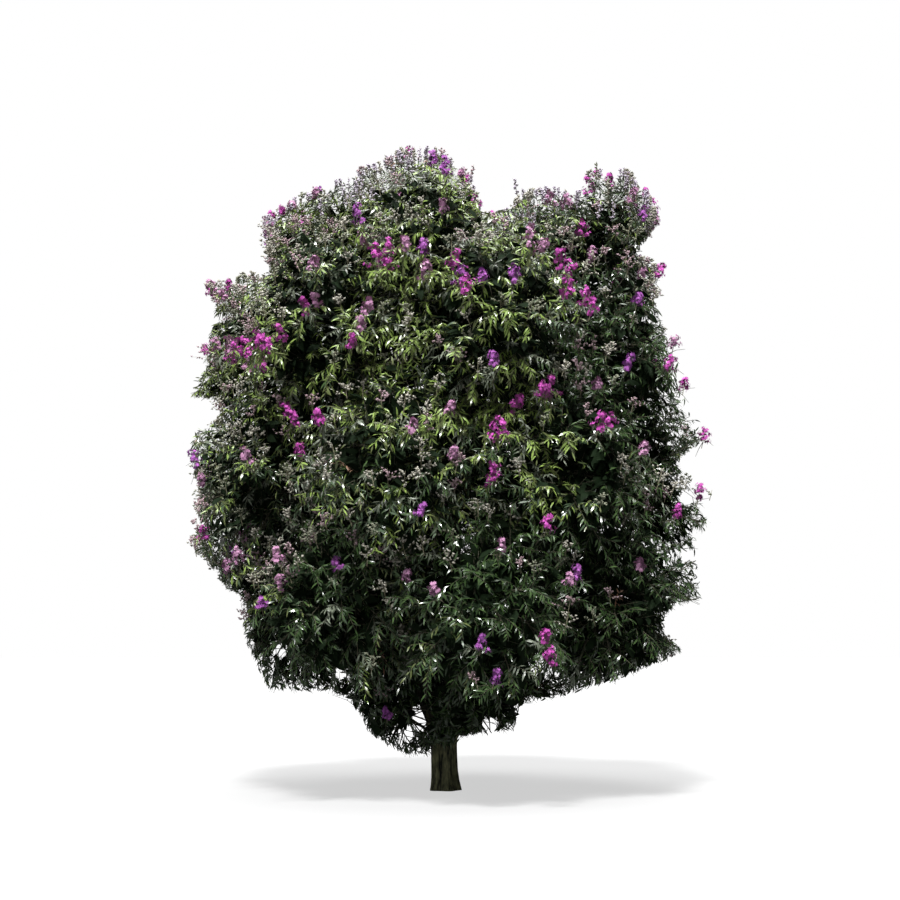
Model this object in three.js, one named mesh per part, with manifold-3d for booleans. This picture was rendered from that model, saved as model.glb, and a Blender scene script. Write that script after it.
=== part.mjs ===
// Queen crape myrtle: a low-forked flowering tree with a dense, barrel-shaped crown and upright panicles.
// Millimetres, +Z up. The origin is the middle of the trunk's flat cut at ground level.
// Seen from the front, along +Y, +X is to the right. Azimuths turn from +X towards +Y.

import * as THREE from "three";
import { mergeVertices } from "three/addons/utils/BufferGeometryUtils.js";
import Module from "manifold-3d";

const wasm = await Module();
wasm.setup();

// Driving dimensions

const TREE_HEIGHT = 7500;
const SEED = 20;
const SEAM = 0.35; // clearance where one limb grows out of another
const LIMB_CLEARANCE = 25; // room that foliage leaves round a limb
const MASS_CLEARANCE = 8; // room that foliage leaves to the next mass's space
const LOWEST_LEAF = 380;
const SLIVER = 0.08; // detail under this size is smoothed away after a cut or join
const MERGE = 1e-3; // corners closer than this are one corner

const TRUNK = {
  neckRadius: 145, // the narrowest place, below the fork
  flareRadius: 178, // at the ground, over the root flare
  flareHeight: 115, // the flare fades over about this height
  forkRadius: 196, // the swelling that the main boughs leave from
  swellFrom: 400,
  forkHeight: 900,
  topHeight: 1040,
  lean: -28, // sideways drift of the fork, towards -X
  leanCurve: 1.2,
  rootLobes: 5,
  rootLobeDepth: 0.08,
  forkLobeDepth: 0.04,
  topRounding: 0.7, // how far the top closes in above the fork
  sides: 24,
  steps: 11,
  ringSpacing: 1.25, // rings lie closer together towards the ground
};

const MAIN = {
  count: 7,
  turn: 180,
  rootRadius: 64,
  tipRadius: 27,
  outPart: 0.42, // it leaves the fork outward and up, in these parts
  upPart: 0.9,
  sides: 7,
  steps: 7,
};
const SIDE = {
  rootRadius: 42,
  tipRadius: 20,
  alongPart: 0.6, // it leaves along its main bough and outward, in these parts
  outPart: 0.55,
  sides: 6,
  steps: 5,
};
const BOUGH_BEND = 0.38; // how far a bough holds its direction at each end, as a share of its span
const BOUGH_TAPER = 0.8; // under 1, most of the taper is near the root
const BOUGH_SAMPLES = 40; // places along a bough where the room round it is measured

// Rings of foliage masses from the ground up. reach is the middle of a mass from the trunk's axis.
// skew widens the ring and rise lifts it towards +X, and dip lowers it towards the front and back.
const LEVEL = { rise: 0, dip: 0, skew: 0 };
const UNEVEN_HEM = { rise: 60, dip: 0, skew: -0.06 };
const UNEVEN_SHOULDER = { rise: -180, dip: 0, skew: -0.03 };
const UNEVEN_CREST = { rise: 60, dip: 270, skew: 0.17 };
const TIERS = [
  { name: "hem", count: 3, turn: 207, height: 1050, reach: 650, radius: 620, ...UNEVEN_HEM },
  { name: "skirt", count: 7, turn: 180, height: 2110, reach: 1800, radius: 980, ...LEVEL, skew: 0.12 },
  { name: "waist", count: 7, turn: 0, height: 3540, reach: 1950, radius: 1070, ...LEVEL, skew: -0.03 },
  { name: "shoulder", count: 7, turn: 180, height: 5000, reach: 1770, radius: 1070, ...UNEVEN_SHOULDER },
  { name: "crest", count: 4, turn: 2, height: 6190, reach: 1400, radius: 980, ...UNEVEN_CREST },
  { name: "cleft", count: 1, turn: 0, height: 5900, reach: 600, radius: 740, ...LEVEL },
  { name: "top", count: 1, turn: 190, height: 6420, reach: 440, radius: 980, ...LEVEL },
];

// lift is the angle at which the boughs of a ring end, and start the share of the main bough where they
// leave. A bough ends entry, a share of the mass's radius, before the mass's middle. The hem has no boughs:
// its stems grow out of the trunk, at the share start of the fork's height. bloom is the chance that a twig
// ends in a panicle.
const HABIT = {
  hem: { lift: 8, start: 0.62, entry: 0, bloom: 0.3 },
  skirt: { lift: 6, start: 0.2, entry: 0.74, bloom: 0.25 },
  waist: { lift: 26, start: 0.36, entry: 0.74, bloom: 0.4 },
  shoulder: { lift: 52, start: 0, entry: 0.74, bloom: 0.6 },
  crest: { lift: 64, start: 0.62, entry: 0.74, bloom: 0.75 },
  cleft: { lift: 80, start: 0.55, entry: 0.74, bloom: 0.5 },
  top: { lift: 84, start: 0.7, entry: 0.74, bloom: 1 },
};
const HEART = { height: 3700, tilt: 0.8 }; // masses face out of the crown, tilted away from this height
const UNEVEN = 0.05; // the share by which reach and height stray from the ring

const MASS = {
  coreOuter: 0.77, // reach of the dense core out of the crown, as a share of the mass
  coreInner: 0.24, // and back towards the boughs
  coreLumps: 0.28,
  corePlay: 0.93, // the core stops at this share of the way to a wall
  shadeFrom: -0.4, // the core thins between these, from its face to the side away from it
  shadeTo: 0.15,
  stemRadius: 19,
  stemPast: 0.15, // the stem runs on past the middle, as a share of the mass
  twigs: 6,
  twigFrom: 0.7, // twigs leave the stem from this share of it on
  cap: 0.7, // twigs spread over this share of a ball, on the side that faces out
  twigRootRadius: 19,
  twigTipRadius: 9,
  twigShare: 0.84, // length of a twig, as a share of the room in its direction
  twigArch: 0.1,
  twigSides: 3,
  twigSteps: 2,
  twigSamples: 8,
  overreach: 1.14, // sprays may stand this far out of a mass
  nearby: 1.5, // limbs within this share of a mass are kept clear of
};
const LEAF = {
  length: 680,
  width: 290,
  thickness: 28,
  widestAt: 0.45,
  arch: 55,
  sunk: 70,
  place: 0.85, // where a pair of leaf sprays sits on a twig
  spread: 0.7, // how far a pair opens to both sides, against running on with the twig
  droop: 0.1, // how far a spray hangs, at the least
  droopPlay: 0.3,
  tilt: 0.5, // how far a spray's face lies up
  endDroop: 0.2,
};
const PANICLE = {
  length: 430,
  radius: 105,
  outline: [[0, 0], [1, 0.3], [0.72, 0.66], [0, 1]], // radius and height, fullest a third of the way up
  sides: 4,
  sunk: 60,
  alongPart: 0.6, // it stands between the twig's direction and upright
  upPart: 0.7,
  lowestTwig: -0.2, // twigs that point further down carry none
};
const SIZES = [1.1, 0.95, 0.8, 0.7]; // tried in turn
const FACE_STEPS = 6;

const BARK = { color: 0x5a4e3c, roughness: 0.9, metalness: 0 };
const LEAVES = { color: 0x35492b, roughness: 0.5, metalness: 0 };

// Small helpers

const UP = new THREE.Vector3(0, 0, 1);
const radians = THREE.MathUtils.degToRad;
const outward = (azimuth) => new THREE.Vector3(Math.cos(azimuth), Math.sin(azimuth), 0);
const GOLDEN_ANGLE = Math.PI * (3 - Math.sqrt(5));

// A direction between two others, in the given parts.
function blend(a, partA, b, partB) {
  return a.clone().multiplyScalar(partA).addScaledVector(b, partB).normalize();
}

// A repeatable stream of numbers from 0 to 1.
function seeded(seed) {
  let state = seed >>> 0;
  return () => {
    state = (state + 0x6d2b79f5) >>> 0;
    let mixed = Math.imul(state ^ (state >>> 15), state | 1);
    mixed ^= mixed + Math.imul(mixed ^ (mixed >>> 7), mixed | 61);
    return ((mixed ^ (mixed >>> 14)) >>> 0) / 4294967296;
  };
}

// A geometry with only positions, its shared vertices merged.
function mergedShape(geometry) {
  const bare = geometry.clone();
  bare.deleteAttribute("normal");
  bare.deleteAttribute("uv");
  return mergeVertices(bare, MERGE);
}

function solidOf(geometry) {
  const shape = mergedShape(geometry);
  const vertProperties = shape.getAttribute("position").array;
  const triVerts = new Uint32Array(shape.index.array);
  return new wasm.Manifold(new wasm.Mesh({ numProp: 3, vertProperties, triVerts }));
}

// The largest body of a solid without slivers, so that loose scraps are dropped.
function largestBody(solid) {
  return solid.simplify(SLIVER).decompose().sort((a, b) => b.volume() - a.volume())[0];
}

function meshOf(name, solid, finish) {
  const { vertProperties, triVerts } = solid.getMesh();
  const geometry = new THREE.BufferGeometry();
  geometry.setAttribute("position", new THREE.BufferAttribute(vertProperties, 3));
  geometry.setIndex(new THREE.BufferAttribute(triVerts, 1));
  geometry.computeVertexNormals();
  const mesh = new THREE.Mesh(geometry, new THREE.MeshStandardMaterial(finish));
  mesh.name = name;
  return mesh;
}

// A closed round limb along a curve and past its end, its radius given at each share of the length.
function limbSolid(curve, radiusAt, sides, steps, past = 0) {
  const limb = new THREE.CylinderGeometry(1, 1, 1, sides, steps);
  const frames = curve.computeFrenetFrames(steps);
  const places = limb.getAttribute("position");
  for (let i = 0; i < places.count; i++) {
    const step = Math.round((places.getY(i) + 0.5) * steps);
    const radius = radiusAt(step / steps);
    const point = curve.getPointAt(step / steps);
    if (step === steps) point.addScaledVector(frames.tangents[step], past);
    point.addScaledVector(frames.binormals[step], places.getX(i) * radius);
    point.addScaledVector(frames.normals[step], places.getZ(i) * radius);
    places.setXYZ(i, point.x, point.y, point.z);
  }
  return solidOf(limb);
}

// Trunk

function trunkRadius(height, angle) {
  const flare = (TRUNK.flareRadius - TRUNK.neckRadius) * Math.exp(-height / TRUNK.flareHeight);
  const swell = THREE.MathUtils.smoothstep(height, TRUNK.swellFrom, TRUNK.forkHeight);
  const closing = Math.max(0, (height - TRUNK.forkHeight) / (TRUNK.topHeight - TRUNK.forkHeight));
  const lobeFade = Math.exp(-height / (2 * TRUNK.flareHeight));
  const rootLobe = TRUNK.rootLobeDepth * Math.cos(TRUNK.rootLobes * angle) * lobeFade;
  const forkLobe = TRUNK.forkLobeDepth * Math.cos(MAIN.count * (angle - radians(MAIN.turn))) * swell;
  const round = TRUNK.neckRadius + flare + (TRUNK.forkRadius - TRUNK.neckRadius) * swell;
  return round * (1 + rootLobe + forkLobe) * Math.sqrt(1 - TRUNK.topRounding * closing * closing);
}

function trunkAxis(height) {
  return new THREE.Vector3(TRUNK.lean * (height / TRUNK.forkHeight) ** TRUNK.leanCurve, 0, height);
}

function trunkSolid(extra = 0) {
  const trunk = new THREE.CylinderGeometry(1, 1, 1, TRUNK.sides, TRUNK.steps);
  const places = trunk.getAttribute("position");
  for (let i = 0; i < places.count; i++) {
    const share = places.getY(i) + 0.5;
    const height = TRUNK.topHeight * share ** TRUNK.ringSpacing;
    const angle = Math.atan2(places.getX(i), places.getZ(i));
    const onAxis = Math.hypot(places.getX(i), places.getZ(i)) < 0.5;
    const radius = onAxis ? 0 : trunkRadius(height, angle) + extra;
    const point = trunkAxis(height).addScaledVector(outward(angle), radius);
    const raised = extra && share === 1 ? extra : 0;
    places.setXYZ(i, point.x, point.y, point.z + raised);
  }
  return solidOf(trunk);
}

// The trunk as a limb that foliage keeps clear of.
const trunkLimb = {
  fat: trunkSolid,
  gapTo: (point) => {
    const height = THREE.MathUtils.clamp(point.z, 0, TRUNK.topHeight);
    return point.distanceTo(trunkAxis(height)) - trunkRadius(Math.min(height, TRUNK.forkHeight), 0);
  },
};

// Where the masses sit

function layOutMasses() {
  const random = seeded(SEED);
  const stray = () => 1 + UNEVEN * (2 * random() - 1);
  const masses = [];
  for (const tier of TIERS) {
    for (let k = 0; k < tier.count; k++) {
      const azimuth = radians(tier.turn + (360 * k) / tier.count);
      const reach = tier.reach * (1 + tier.skew * Math.cos(azimuth)) * stray();
      const sway = tier.rise * Math.cos(azimuth) - tier.dip * Math.abs(Math.sin(azimuth));
      const height = tier.height + sway + tier.radius * (stray() - 1);
      const centre = outward(azimuth).multiplyScalar(reach).setZ(height);
      const { lift: degrees, entry } = HABIT[tier.name];
      const lift = radians(degrees);
      const direction = blend(outward(azimuth), Math.cos(lift), UP, Math.sin(lift));
      const tip = centre.clone().addScaledVector(direction, -entry * tier.radius);
      const suffix = tier.count > 1 ? "_" + (k + 1) : "";
      const facing = centre.clone().setZ(HEART.tilt * (height - HEART.height)).normalize();
      const number = masses.length;
      masses.push({ tier, suffix, number, azimuth, centre, radius: tier.radius, direction, tip, facing });
    }
  }
  return masses;
}

// A mass keeps to the side of each wall between it and its neighbours, and to a ball round its middle.
function fenceIn(mass, masses) {
  mass.walls = [];
  for (const other of masses) {
    const across = other.centre.clone().sub(mass.centre);
    const span = across.length();
    const distance = (span ** 2 + mass.radius ** 2 - other.radius ** 2) / (2 * span) - MASS_CLEARANCE;
    if (other !== mass && distance < MASS.overreach * mass.radius) {
      mass.walls.push({ normal: across.normalize(), distance });
    }
  }
}

function holds(mass, point) {
  const offset = point.clone().sub(mass.centre);
  const inside = offset.length() < MASS.overreach * mass.radius;
  const aboveGround = point.z > LOWEST_LEAF && point.z < TREE_HEIGHT + 1;
  return inside && aboveGround && mass.walls.every((wall) => wall.normal.dot(offset) < wall.distance);
}

// How far a straight line from a point inside a mass can go before it leaves the mass.
function roomAlong(mass, start, direction) {
  const offset = start.clone().sub(mass.centre);
  const along = offset.dot(direction);
  let room = Math.sqrt(along ** 2 - offset.lengthSq() + mass.radius ** 2) - along;
  for (const wall of mass.walls) {
    const closing = wall.normal.dot(direction);
    if (closing > 1e-6) room = Math.min(room, (wall.distance - wall.normal.dot(offset)) / closing);
  }
  return room;
}

// Boughs

function boughCurve(start, startDirection, tip, tipDirection) {
  const hold = BOUGH_BEND * start.distanceTo(tip);
  const leaving = start.clone().addScaledVector(startDirection, hold);
  const arriving = tip.clone().addScaledVector(tipDirection, -hold);
  return new THREE.CubicBezierCurve3(start, leaving, arriving, tip);
}

function makeLimb(name, curve, size) {
  const { rootRadius } = size;
  const radiusAt = (share) => rootRadius + (size.tipRadius - rootRadius) * share ** BOUGH_TAPER;
  const samples = curve.getSpacedPoints(BOUGH_SAMPLES);
  const gapAt = (sample, i, point) => sample.distanceTo(point) - radiusAt(i / BOUGH_SAMPLES);
  return {
    name,
    curve,
    tipRadius: size.tipRadius,
    solid: limbSolid(curve, radiusAt, size.sides, size.steps),
    fat: (extra) => limbSolid(curve, (share) => radiusAt(share) + extra, size.sides, size.steps, extra),
    gapTo: (point) => Math.min(...samples.map((sample, i) => gapAt(sample, i, point))),
  };
}

// The main boughs rise from the fork and end in the shoulder masses.
function makeMainBoughs(masses) {
  return masses
    .filter((mass) => mass.tier.name === "shoulder")
    .map((mass) => {
      const start = trunkAxis(TRUNK.forkHeight - 2 * MAIN.rootRadius);
      start.addScaledVector(outward(mass.azimuth), 2 * MAIN.rootRadius);
      const leaving = blend(outward(mass.azimuth), MAIN.outPart, UP, MAIN.upPart);
      const curve = boughCurve(start, leaving, mass.tip, mass.direction);
      mass.bough = makeLimb("main_bough" + mass.suffix, curve, MAIN);
      return mass.bough;
    });
}

// Every other bough leaves the nearest main bough.
function makeSideBough(mass, mains) {
  const { tier, azimuth, suffix } = mass;
  const { start: share } = HABIT[tier.name];
  const turns = (azimuth - radians(MAIN.turn)) / (2 * Math.PI);
  const nearest = (Math.round(turns * MAIN.count) + 2 * MAIN.count) % MAIN.count;
  const main = mains[nearest].curve;
  const leaving = blend(main.getTangentAt(share), SIDE.alongPart, outward(azimuth), SIDE.outPart);
  const curve = boughCurve(main.getPointAt(share), leaving, mass.tip, mass.direction);
  mass.bough = makeLimb(tier.name + "_bough" + suffix, curve, SIDE);
  return mass.bough;
}

// Each limb is cut clear of the ones it grows out of or crosses at the fork.
function seatLimbs(limbs, trunk) {
  const seated = [];
  for (const limb of limbs) {
    let cut = limb.solid.subtract(trunk);
    for (const earlier of seated) cut = cut.subtract(earlier.fat(SEAM));
    limb.solid = largestBody(cut);
    seated.push(limb);
  }
}

// Foliage

// An eight-faced blade from its root along +Y, widest below the middle and arched, for a spray of leaves.
function leafShape(root, along, face, size) {
  const leaf = new THREE.OctahedronGeometry(1, 0);
  const places = leaf.getAttribute("position");
  for (let i = 0; i < places.count; i++) {
    const end = Math.round(places.getY(i));
    const y = end ? (size * LEAF.length * (end + 1)) / 2 : size * LEAF.length * LEAF.widestAt;
    const arch = end ? 0 : size * LEAF.arch;
    const x = (places.getX(i) * size * LEAF.width) / 2;
    places.setXYZ(i, x, y, (places.getZ(i) * size * LEAF.thickness) / 2 + arch);
  }
  return leaf.applyMatrix4(standing(root, along, face));
}

// A matrix that stands a shape drawn along +Y on a point, with its +Z as near to face as it can be.
function standing(root, along, face) {
  const side = along.clone().cross(face).normalize();
  const square = side.clone().cross(along);
  return new THREE.Matrix4().makeBasis(side, along, square).setPosition(root);
}

// An upright cone of blossom.
function panicleShape(root, along, size) {
  const radius = size * PANICLE.radius;
  const length = size * PANICLE.length;
  const profile = PANICLE.outline.map(([r, y]) => new THREE.Vector2(r * radius, y * length));
  const panicle = new THREE.LatheGeometry(profile, PANICLE.sides);
  return panicle.applyMatrix4(standing(root, along, outward(1)));
}

// The dense core of a mass, lumpy, thinner on its shaded side and held back from the walls of its space.
function coreSolid(mass, limbs, random) {
  const core = mergedShape(new THREE.IcosahedronGeometry(1, 1));
  const places = core.getAttribute("position");
  const direction = new THREE.Vector3();
  for (let i = 0; i < places.count; i++) {
    direction.fromBufferAttribute(places, i).normalize();
    const lump = 1 + MASS.coreLumps * (random() - 0.5);
    const outer = THREE.MathUtils.smoothstep(direction.dot(mass.facing), MASS.shadeFrom, MASS.shadeTo);
    const share = MASS.coreInner + (MASS.coreOuter - MASS.coreInner) * outer;
    const room = MASS.corePlay * roomAlong(mass, mass.centre, direction);
    const radius = Math.min(share * mass.radius * lump, room);
    places.setXYZ(i, ...mass.centre.clone().addScaledVector(direction, radius));
  }
  let solid = solidOf(core);
  for (const limb of limbs) solid = solid.subtract(limb.fat(LIMB_CLEARANCE));
  return largestBody(solid);
}

const clearOfLimbs = (points, halfWidth, limbs) =>
  points.every((point) => limbs.every((limb) => limb.gapTo(point) > halfWidth + LIMB_CLEARANCE));

function corners(geometry) {
  const places = geometry.getAttribute("position");
  return Array.from({ length: places.count }, (_, i) => new THREE.Vector3().fromBufferAttribute(places, i));
}

// Points all over the faces of a shape, close enough together to find any limb that passes through it.
function facePoints(geometry) {
  const points = corners(geometry.index ? geometry.toNonIndexed() : geometry);
  const found = [];
  for (let i = 0; i < points.length; i += 3) {
    for (let u = 0; u <= FACE_STEPS; u++) {
      for (let v = 0; u + v <= FACE_STEPS; v++) {
        const point = points[i].clone().multiplyScalar(1 - (u + v) / FACE_STEPS);
        point.addScaledVector(points[i + 1], u / FACE_STEPS);
        found.push(point.addScaledVector(points[i + 2], v / FACE_STEPS));
      }
    }
  }
  return found;
}

// Adds a leaf or panicle to a mass at the largest size that stays in the mass's space and touches no limb.
// It is skipped if the smallest doesn't fit.
function addIfItFits(pieces, shapeAt, mass, limbs) {
  for (const size of SIZES) {
    const shape = shapeAt(size);
    const inside = corners(shape).every((point) => holds(mass, point));
    const fits = inside && clearOfLimbs(facePoints(shape), 0, limbs);
    if (fits) {
      pieces.push(solidOf(shape));
      return true;
    }
  }
  return false;
}

// The k-th of the directions spread evenly over the side of a mass that faces out of the crown.
function spreadDirection(k, phase, facing) {
  const height = 1 - (MASS.cap * (2 * k + 1)) / MASS.twigs;
  const turn = k * GOLDEN_ANGLE + phase;
  const direction = outward(turn).multiplyScalar(Math.sqrt(1 - height * height)).setZ(height);
  return direction.applyQuaternion(new THREE.Quaternion().setFromUnitVectors(UP, facing));
}

// A twig that arches out from the stem, with a pair of leaf sprays and, at its end, a spray or a panicle.
function growTwig(pieces, mass, limbs, root, direction, random) {
  const length = MASS.twigShare * roomAlong(mass, root, direction);
  const end = root.clone().addScaledVector(direction, length);
  const middle = root.clone().lerp(end, 0.5).addScaledVector(UP, MASS.twigArch * length);
  const curve = new THREE.QuadraticBezierCurve3(root, middle, end);
  const points = curve.getSpacedPoints(MASS.twigSamples);
  if (!points.every((p) => holds(mass, p)) || !clearOfLimbs(points, MASS.twigRootRadius, limbs)) return;
  const radiusAt = (share) => MASS.twigRootRadius + (MASS.twigTipRadius - MASS.twigRootRadius) * share;
  pieces.push(limbSolid(curve, radiusAt, MASS.twigSides, MASS.twigSteps));

  const running = curve.getTangentAt(LEAF.place);
  const across = running.clone().cross(UP).normalize();
  for (const rank of [-1, 1]) {
    const along = blend(running, LEAF.spread, across, LEAF.spread * rank);
    along.addScaledVector(UP, -LEAF.droop - LEAF.droopPlay * random()).normalize();
    const face = blend(UP, LEAF.tilt, across, rank);
    const leafRoot = curve.getPointAt(LEAF.place).addScaledVector(along, -LEAF.sunk);
    addIfItFits(pieces, (size) => leafShape(leafRoot, along, face, size), mass, limbs);
  }
  const flowers = random() < HABIT[mass.tier.name].bloom && direction.z > PANICLE.lowestTwig;
  const upright = blend(running, PANICLE.alongPart, UP, PANICLE.upPart);
  const panicleRoot = end.clone().addScaledVector(upright, -PANICLE.sunk);
  const panicleAt = (size) => panicleShape(panicleRoot, upright, size);
  if (flowers && addIfItFits(pieces, panicleAt, mass, limbs)) return;
  const along = blend(running, 1, UP, -LEAF.endDroop);
  const leafRoot = end.clone().addScaledVector(along, -LEAF.sunk);
  const face = outward(2 * Math.PI * random());
  addIfItFits(pieces, (size) => leafShape(leafRoot, along, face, size), mass, limbs);
}

// The leader of the top mass carries the panicle that reaches the tree's full height.
function growLeader(pieces, mass) {
  const root = mass.centre.clone();
  const end = root.clone().setZ(TREE_HEIGHT - PANICLE.length);
  const curve = new THREE.LineCurve3(root, end.clone().addScaledVector(UP, PANICLE.sunk));
  pieces.push(limbSolid(curve, () => MASS.twigRootRadius, MASS.twigSides, 1));
  pieces.push(solidOf(panicleShape(end, UP, 1)));
}

function growMass(mass, allLimbs) {
  const limbs = allLimbs.filter((limb) => limb.gapTo(mass.centre) < MASS.nearby * mass.radius);
  const random = seeded(SEED * (mass.number + 2));
  const onTrunk = trunkAxis(HABIT[mass.tier.name].start * TRUNK.forkHeight);
  const start = mass.bough ? mass.tip.clone().addScaledVector(mass.direction, SEAM) : onTrunk;
  const stemEnd = mass.centre.clone().addScaledVector(mass.direction, MASS.stemPast * mass.radius);
  const stem = new THREE.LineCurve3(start, stemEnd);
  const stemSolid = limbSolid(stem, () => MASS.stemRadius, MASS.twigSides, 1);
  const pieces = [coreSolid(mass, limbs, random), stemSolid];
  const phase = 2 * Math.PI * random();
  for (let k = 0; k < MASS.twigs; k++) {
    const direction = spreadDirection(k, phase, mass.facing);
    const root = stem.getPoint(MASS.twigFrom + (1 - MASS.twigFrom) * random());
    growTwig(pieces, mass, limbs, root, direction, random);
  }
  if (mass.tier.name === "top") growLeader(pieces, mass);
  const grown = wasm.Manifold.union(pieces);
  return largestBody(mass.bough ? grown : grown.subtract(trunkSolid(SEAM)));
}

// The whole tree

function growTree() {
  const tree = new THREE.Group();
  const masses = layOutMasses();
  const mains = makeMainBoughs(masses);
  const onMains = masses.filter((mass) => !mass.bough && mass.tier.name !== "hem");
  const sides = onMains.map((mass) => makeSideBough(mass, mains));
  const limbs = [...mains, ...sides];
  seatLimbs(limbs, trunkSolid(SEAM));
  for (const mass of masses) fenceIn(mass, masses);

  tree.add(meshOf("trunk", trunkSolid(), BARK));
  for (const limb of limbs) tree.add(meshOf(limb.name, limb.solid, BARK));
  for (const mass of masses) {
    const foliage = growMass(mass, [trunkLimb, ...limbs]);
    tree.add(meshOf(mass.tier.name + "_foliage" + mass.suffix, foliage, LEAVES));
  }
  return tree;
}

export default growTree();
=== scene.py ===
import math
import bpy
import numpy as np
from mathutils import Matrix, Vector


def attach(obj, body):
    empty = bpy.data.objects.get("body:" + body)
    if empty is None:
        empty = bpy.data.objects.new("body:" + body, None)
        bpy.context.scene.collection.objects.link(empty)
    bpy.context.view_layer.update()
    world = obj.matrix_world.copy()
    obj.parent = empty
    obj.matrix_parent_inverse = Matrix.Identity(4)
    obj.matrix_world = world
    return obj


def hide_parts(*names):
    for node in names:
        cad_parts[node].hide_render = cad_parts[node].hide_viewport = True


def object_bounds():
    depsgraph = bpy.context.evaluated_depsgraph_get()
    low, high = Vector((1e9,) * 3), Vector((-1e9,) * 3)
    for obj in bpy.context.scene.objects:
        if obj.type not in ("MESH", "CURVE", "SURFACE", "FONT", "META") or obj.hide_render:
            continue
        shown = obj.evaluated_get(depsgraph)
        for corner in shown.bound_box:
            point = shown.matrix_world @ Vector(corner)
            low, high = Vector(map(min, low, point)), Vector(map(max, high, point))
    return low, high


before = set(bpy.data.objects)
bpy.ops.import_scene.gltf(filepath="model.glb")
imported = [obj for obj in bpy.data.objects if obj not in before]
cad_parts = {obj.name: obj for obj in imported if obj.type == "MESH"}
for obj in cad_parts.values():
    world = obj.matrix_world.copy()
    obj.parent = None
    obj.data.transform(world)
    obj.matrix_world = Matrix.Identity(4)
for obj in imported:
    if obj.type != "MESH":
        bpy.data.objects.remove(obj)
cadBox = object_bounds()  # the solids' own box, which the crown's box is drawn from
print("tree: frame loaded,", len(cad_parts), "nodes")


# Helpers for modelling by operators

def clearSelection():
    if bpy.context.object and bpy.context.object.mode != "OBJECT":
        bpy.ops.object.mode_set(mode="OBJECT")
    bpy.ops.object.select_all(action="DESELECT")


def editAll():  # starts an edit of the active piece, with all of it selected
    bpy.ops.object.mode_set(mode="EDIT")
    bpy.ops.mesh.select_all(action="SELECT")


def pick(piece, test):  # selects the points that pass the test, and stays in edit mode
    bpy.ops.object.mode_set(mode="OBJECT")
    for part in list(piece.data.edges) + list(piece.data.polygons):
        part.select = False
    for point in piece.data.vertices:
        point.select = test(point.co)
    bpy.ops.object.mode_set(mode="EDIT")


def patternOf(piece):  # a small model's points and triangles, for stamping; the model itself is removed
    editAll()
    bpy.ops.mesh.quads_convert_to_tris()
    bpy.ops.object.mode_set(mode="OBJECT")
    points = np.array([point.co for point in piece.data.vertices])
    faces = np.array([list(face.vertices) for face in piece.data.polygons])
    bpy.data.objects.remove(piece)
    return points, faces


def seat(piece, slot, *nodes):  # every piece rides on the one body and stands for its nodes
    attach(piece, "root")
    if nodes:
        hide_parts(*nodes)


up = np.array((0.0, 0.0, 1.0))
sideways = np.array((1.0, 0.0, 0.0))
goldenAngle = math.pi * (3 - math.sqrt(5))
leastLength = 1e-9  # no direction is divided by less than this
tiny = 1e-6


def unit(vectors):
    vectors = np.asarray(vectors, float)
    return vectors / np.maximum(np.linalg.norm(vectors, axis=-1, keepdims=True), leastLength)


def blend(first, firstShare, second, secondShare):
    return unit(np.asarray(first) * firstShare + np.asarray(second) * secondShare)


def outward(azimuth):
    return np.array((math.cos(azimuth), math.sin(azimuth), 0.0))


# Helpers for node trees

mixFactor, mixFirst, mixSecond, mixResult = 0, 6, 7, 2  # sockets of a node that mixes colours
white = (1, 1, 1, 1)


def setSockets(node, values):
    for socket, value in values.items():
        node.inputs[socket].default_value = value


def addNode(tree, kind, values=None, **settings):
    node = tree.nodes.new(kind)
    for label, value in settings.items():
        setattr(node, label, value)
    setSockets(node, values or {})
    return node


def wire(tree, *links):  # each link goes from a node's output to a node's input
    for source, output, target, entry in links:
        tree.links.new(source.outputs[output], target.inputs[entry])


def newGroup(name, inputs, outputs):
    group = bpy.data.node_groups.new(name, "ShaderNodeTree")
    for way, sockets in (("INPUT", inputs), ("OUTPUT", outputs)):
        for label, kind in sockets.items():
            group.interface.new_socket(label, in_out=way, socket_type="NodeSocket" + kind)
    return group, group.nodes.new("NodeGroupInput"), group.nodes.new("NodeGroupOutput")


def newLook(name):  # a material, its node tree and the node of its surface
    look = bpy.data.materials.new(name)
    look.use_nodes = True
    return look, look.node_tree, look.node_tree.nodes["Principled BSDF"]


# Camera, light and floor

viewpoint = dict(place=(0.058, -18.0, 1.6), pitchUp=7.19, focalPixels=1563.0, imagePixels=900.0, sensor=36.0,
                 farthest=300.0, metresPerPixel=0.0117)  # the size of a pixel is taken at the trunk
eye = np.array(viewpoint["place"])
pitch = math.radians(viewpoint["pitchUp"])
focal = viewpoint["focalPixels"]
halfImage = viewpoint["imagePixels"] / 2

bpy.ops.object.camera_add(location=viewpoint["place"],
                          rotation=(math.radians(90 + viewpoint["pitchUp"]), 0, 0))
photoCamera = bpy.context.object
photoCamera.name = "photoCamera"
photoCamera.data.sensor_width = viewpoint["sensor"]
photoCamera.data.lens = viewpoint["sensor"] * focal / viewpoint["imagePixels"]
photoCamera.data.clip_end = viewpoint["farthest"]
bpy.context.scene.camera = photoCamera
bpy.context.scene.view_settings.view_transform = "Standard"


def toPixels(points):  # where points fall in the picture, and how far in front of the camera they are
    away = np.asarray(points) - eye
    depth = away[:, 1] * math.cos(pitch) + away[:, 2] * math.sin(pitch)
    rise = away[:, 2] * math.cos(pitch) - away[:, 1] * math.sin(pitch)
    return np.stack((halfImage + focal * away[:, 0] / depth, halfImage - focal * rise / depth), 1), depth


def onPlane(pixel, planeY):  # the point of an upright plane that shows at a pixel
    right = (pixel[0] - halfImage) / focal
    rise = (halfImage - pixel[1]) / focal
    forward = math.cos(pitch) - rise * math.sin(pitch)
    ray = np.array((right, forward, math.sin(pitch) + rise * math.cos(pitch)))
    return eye + ray * (planeY - eye[1]) / ray[1]


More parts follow.
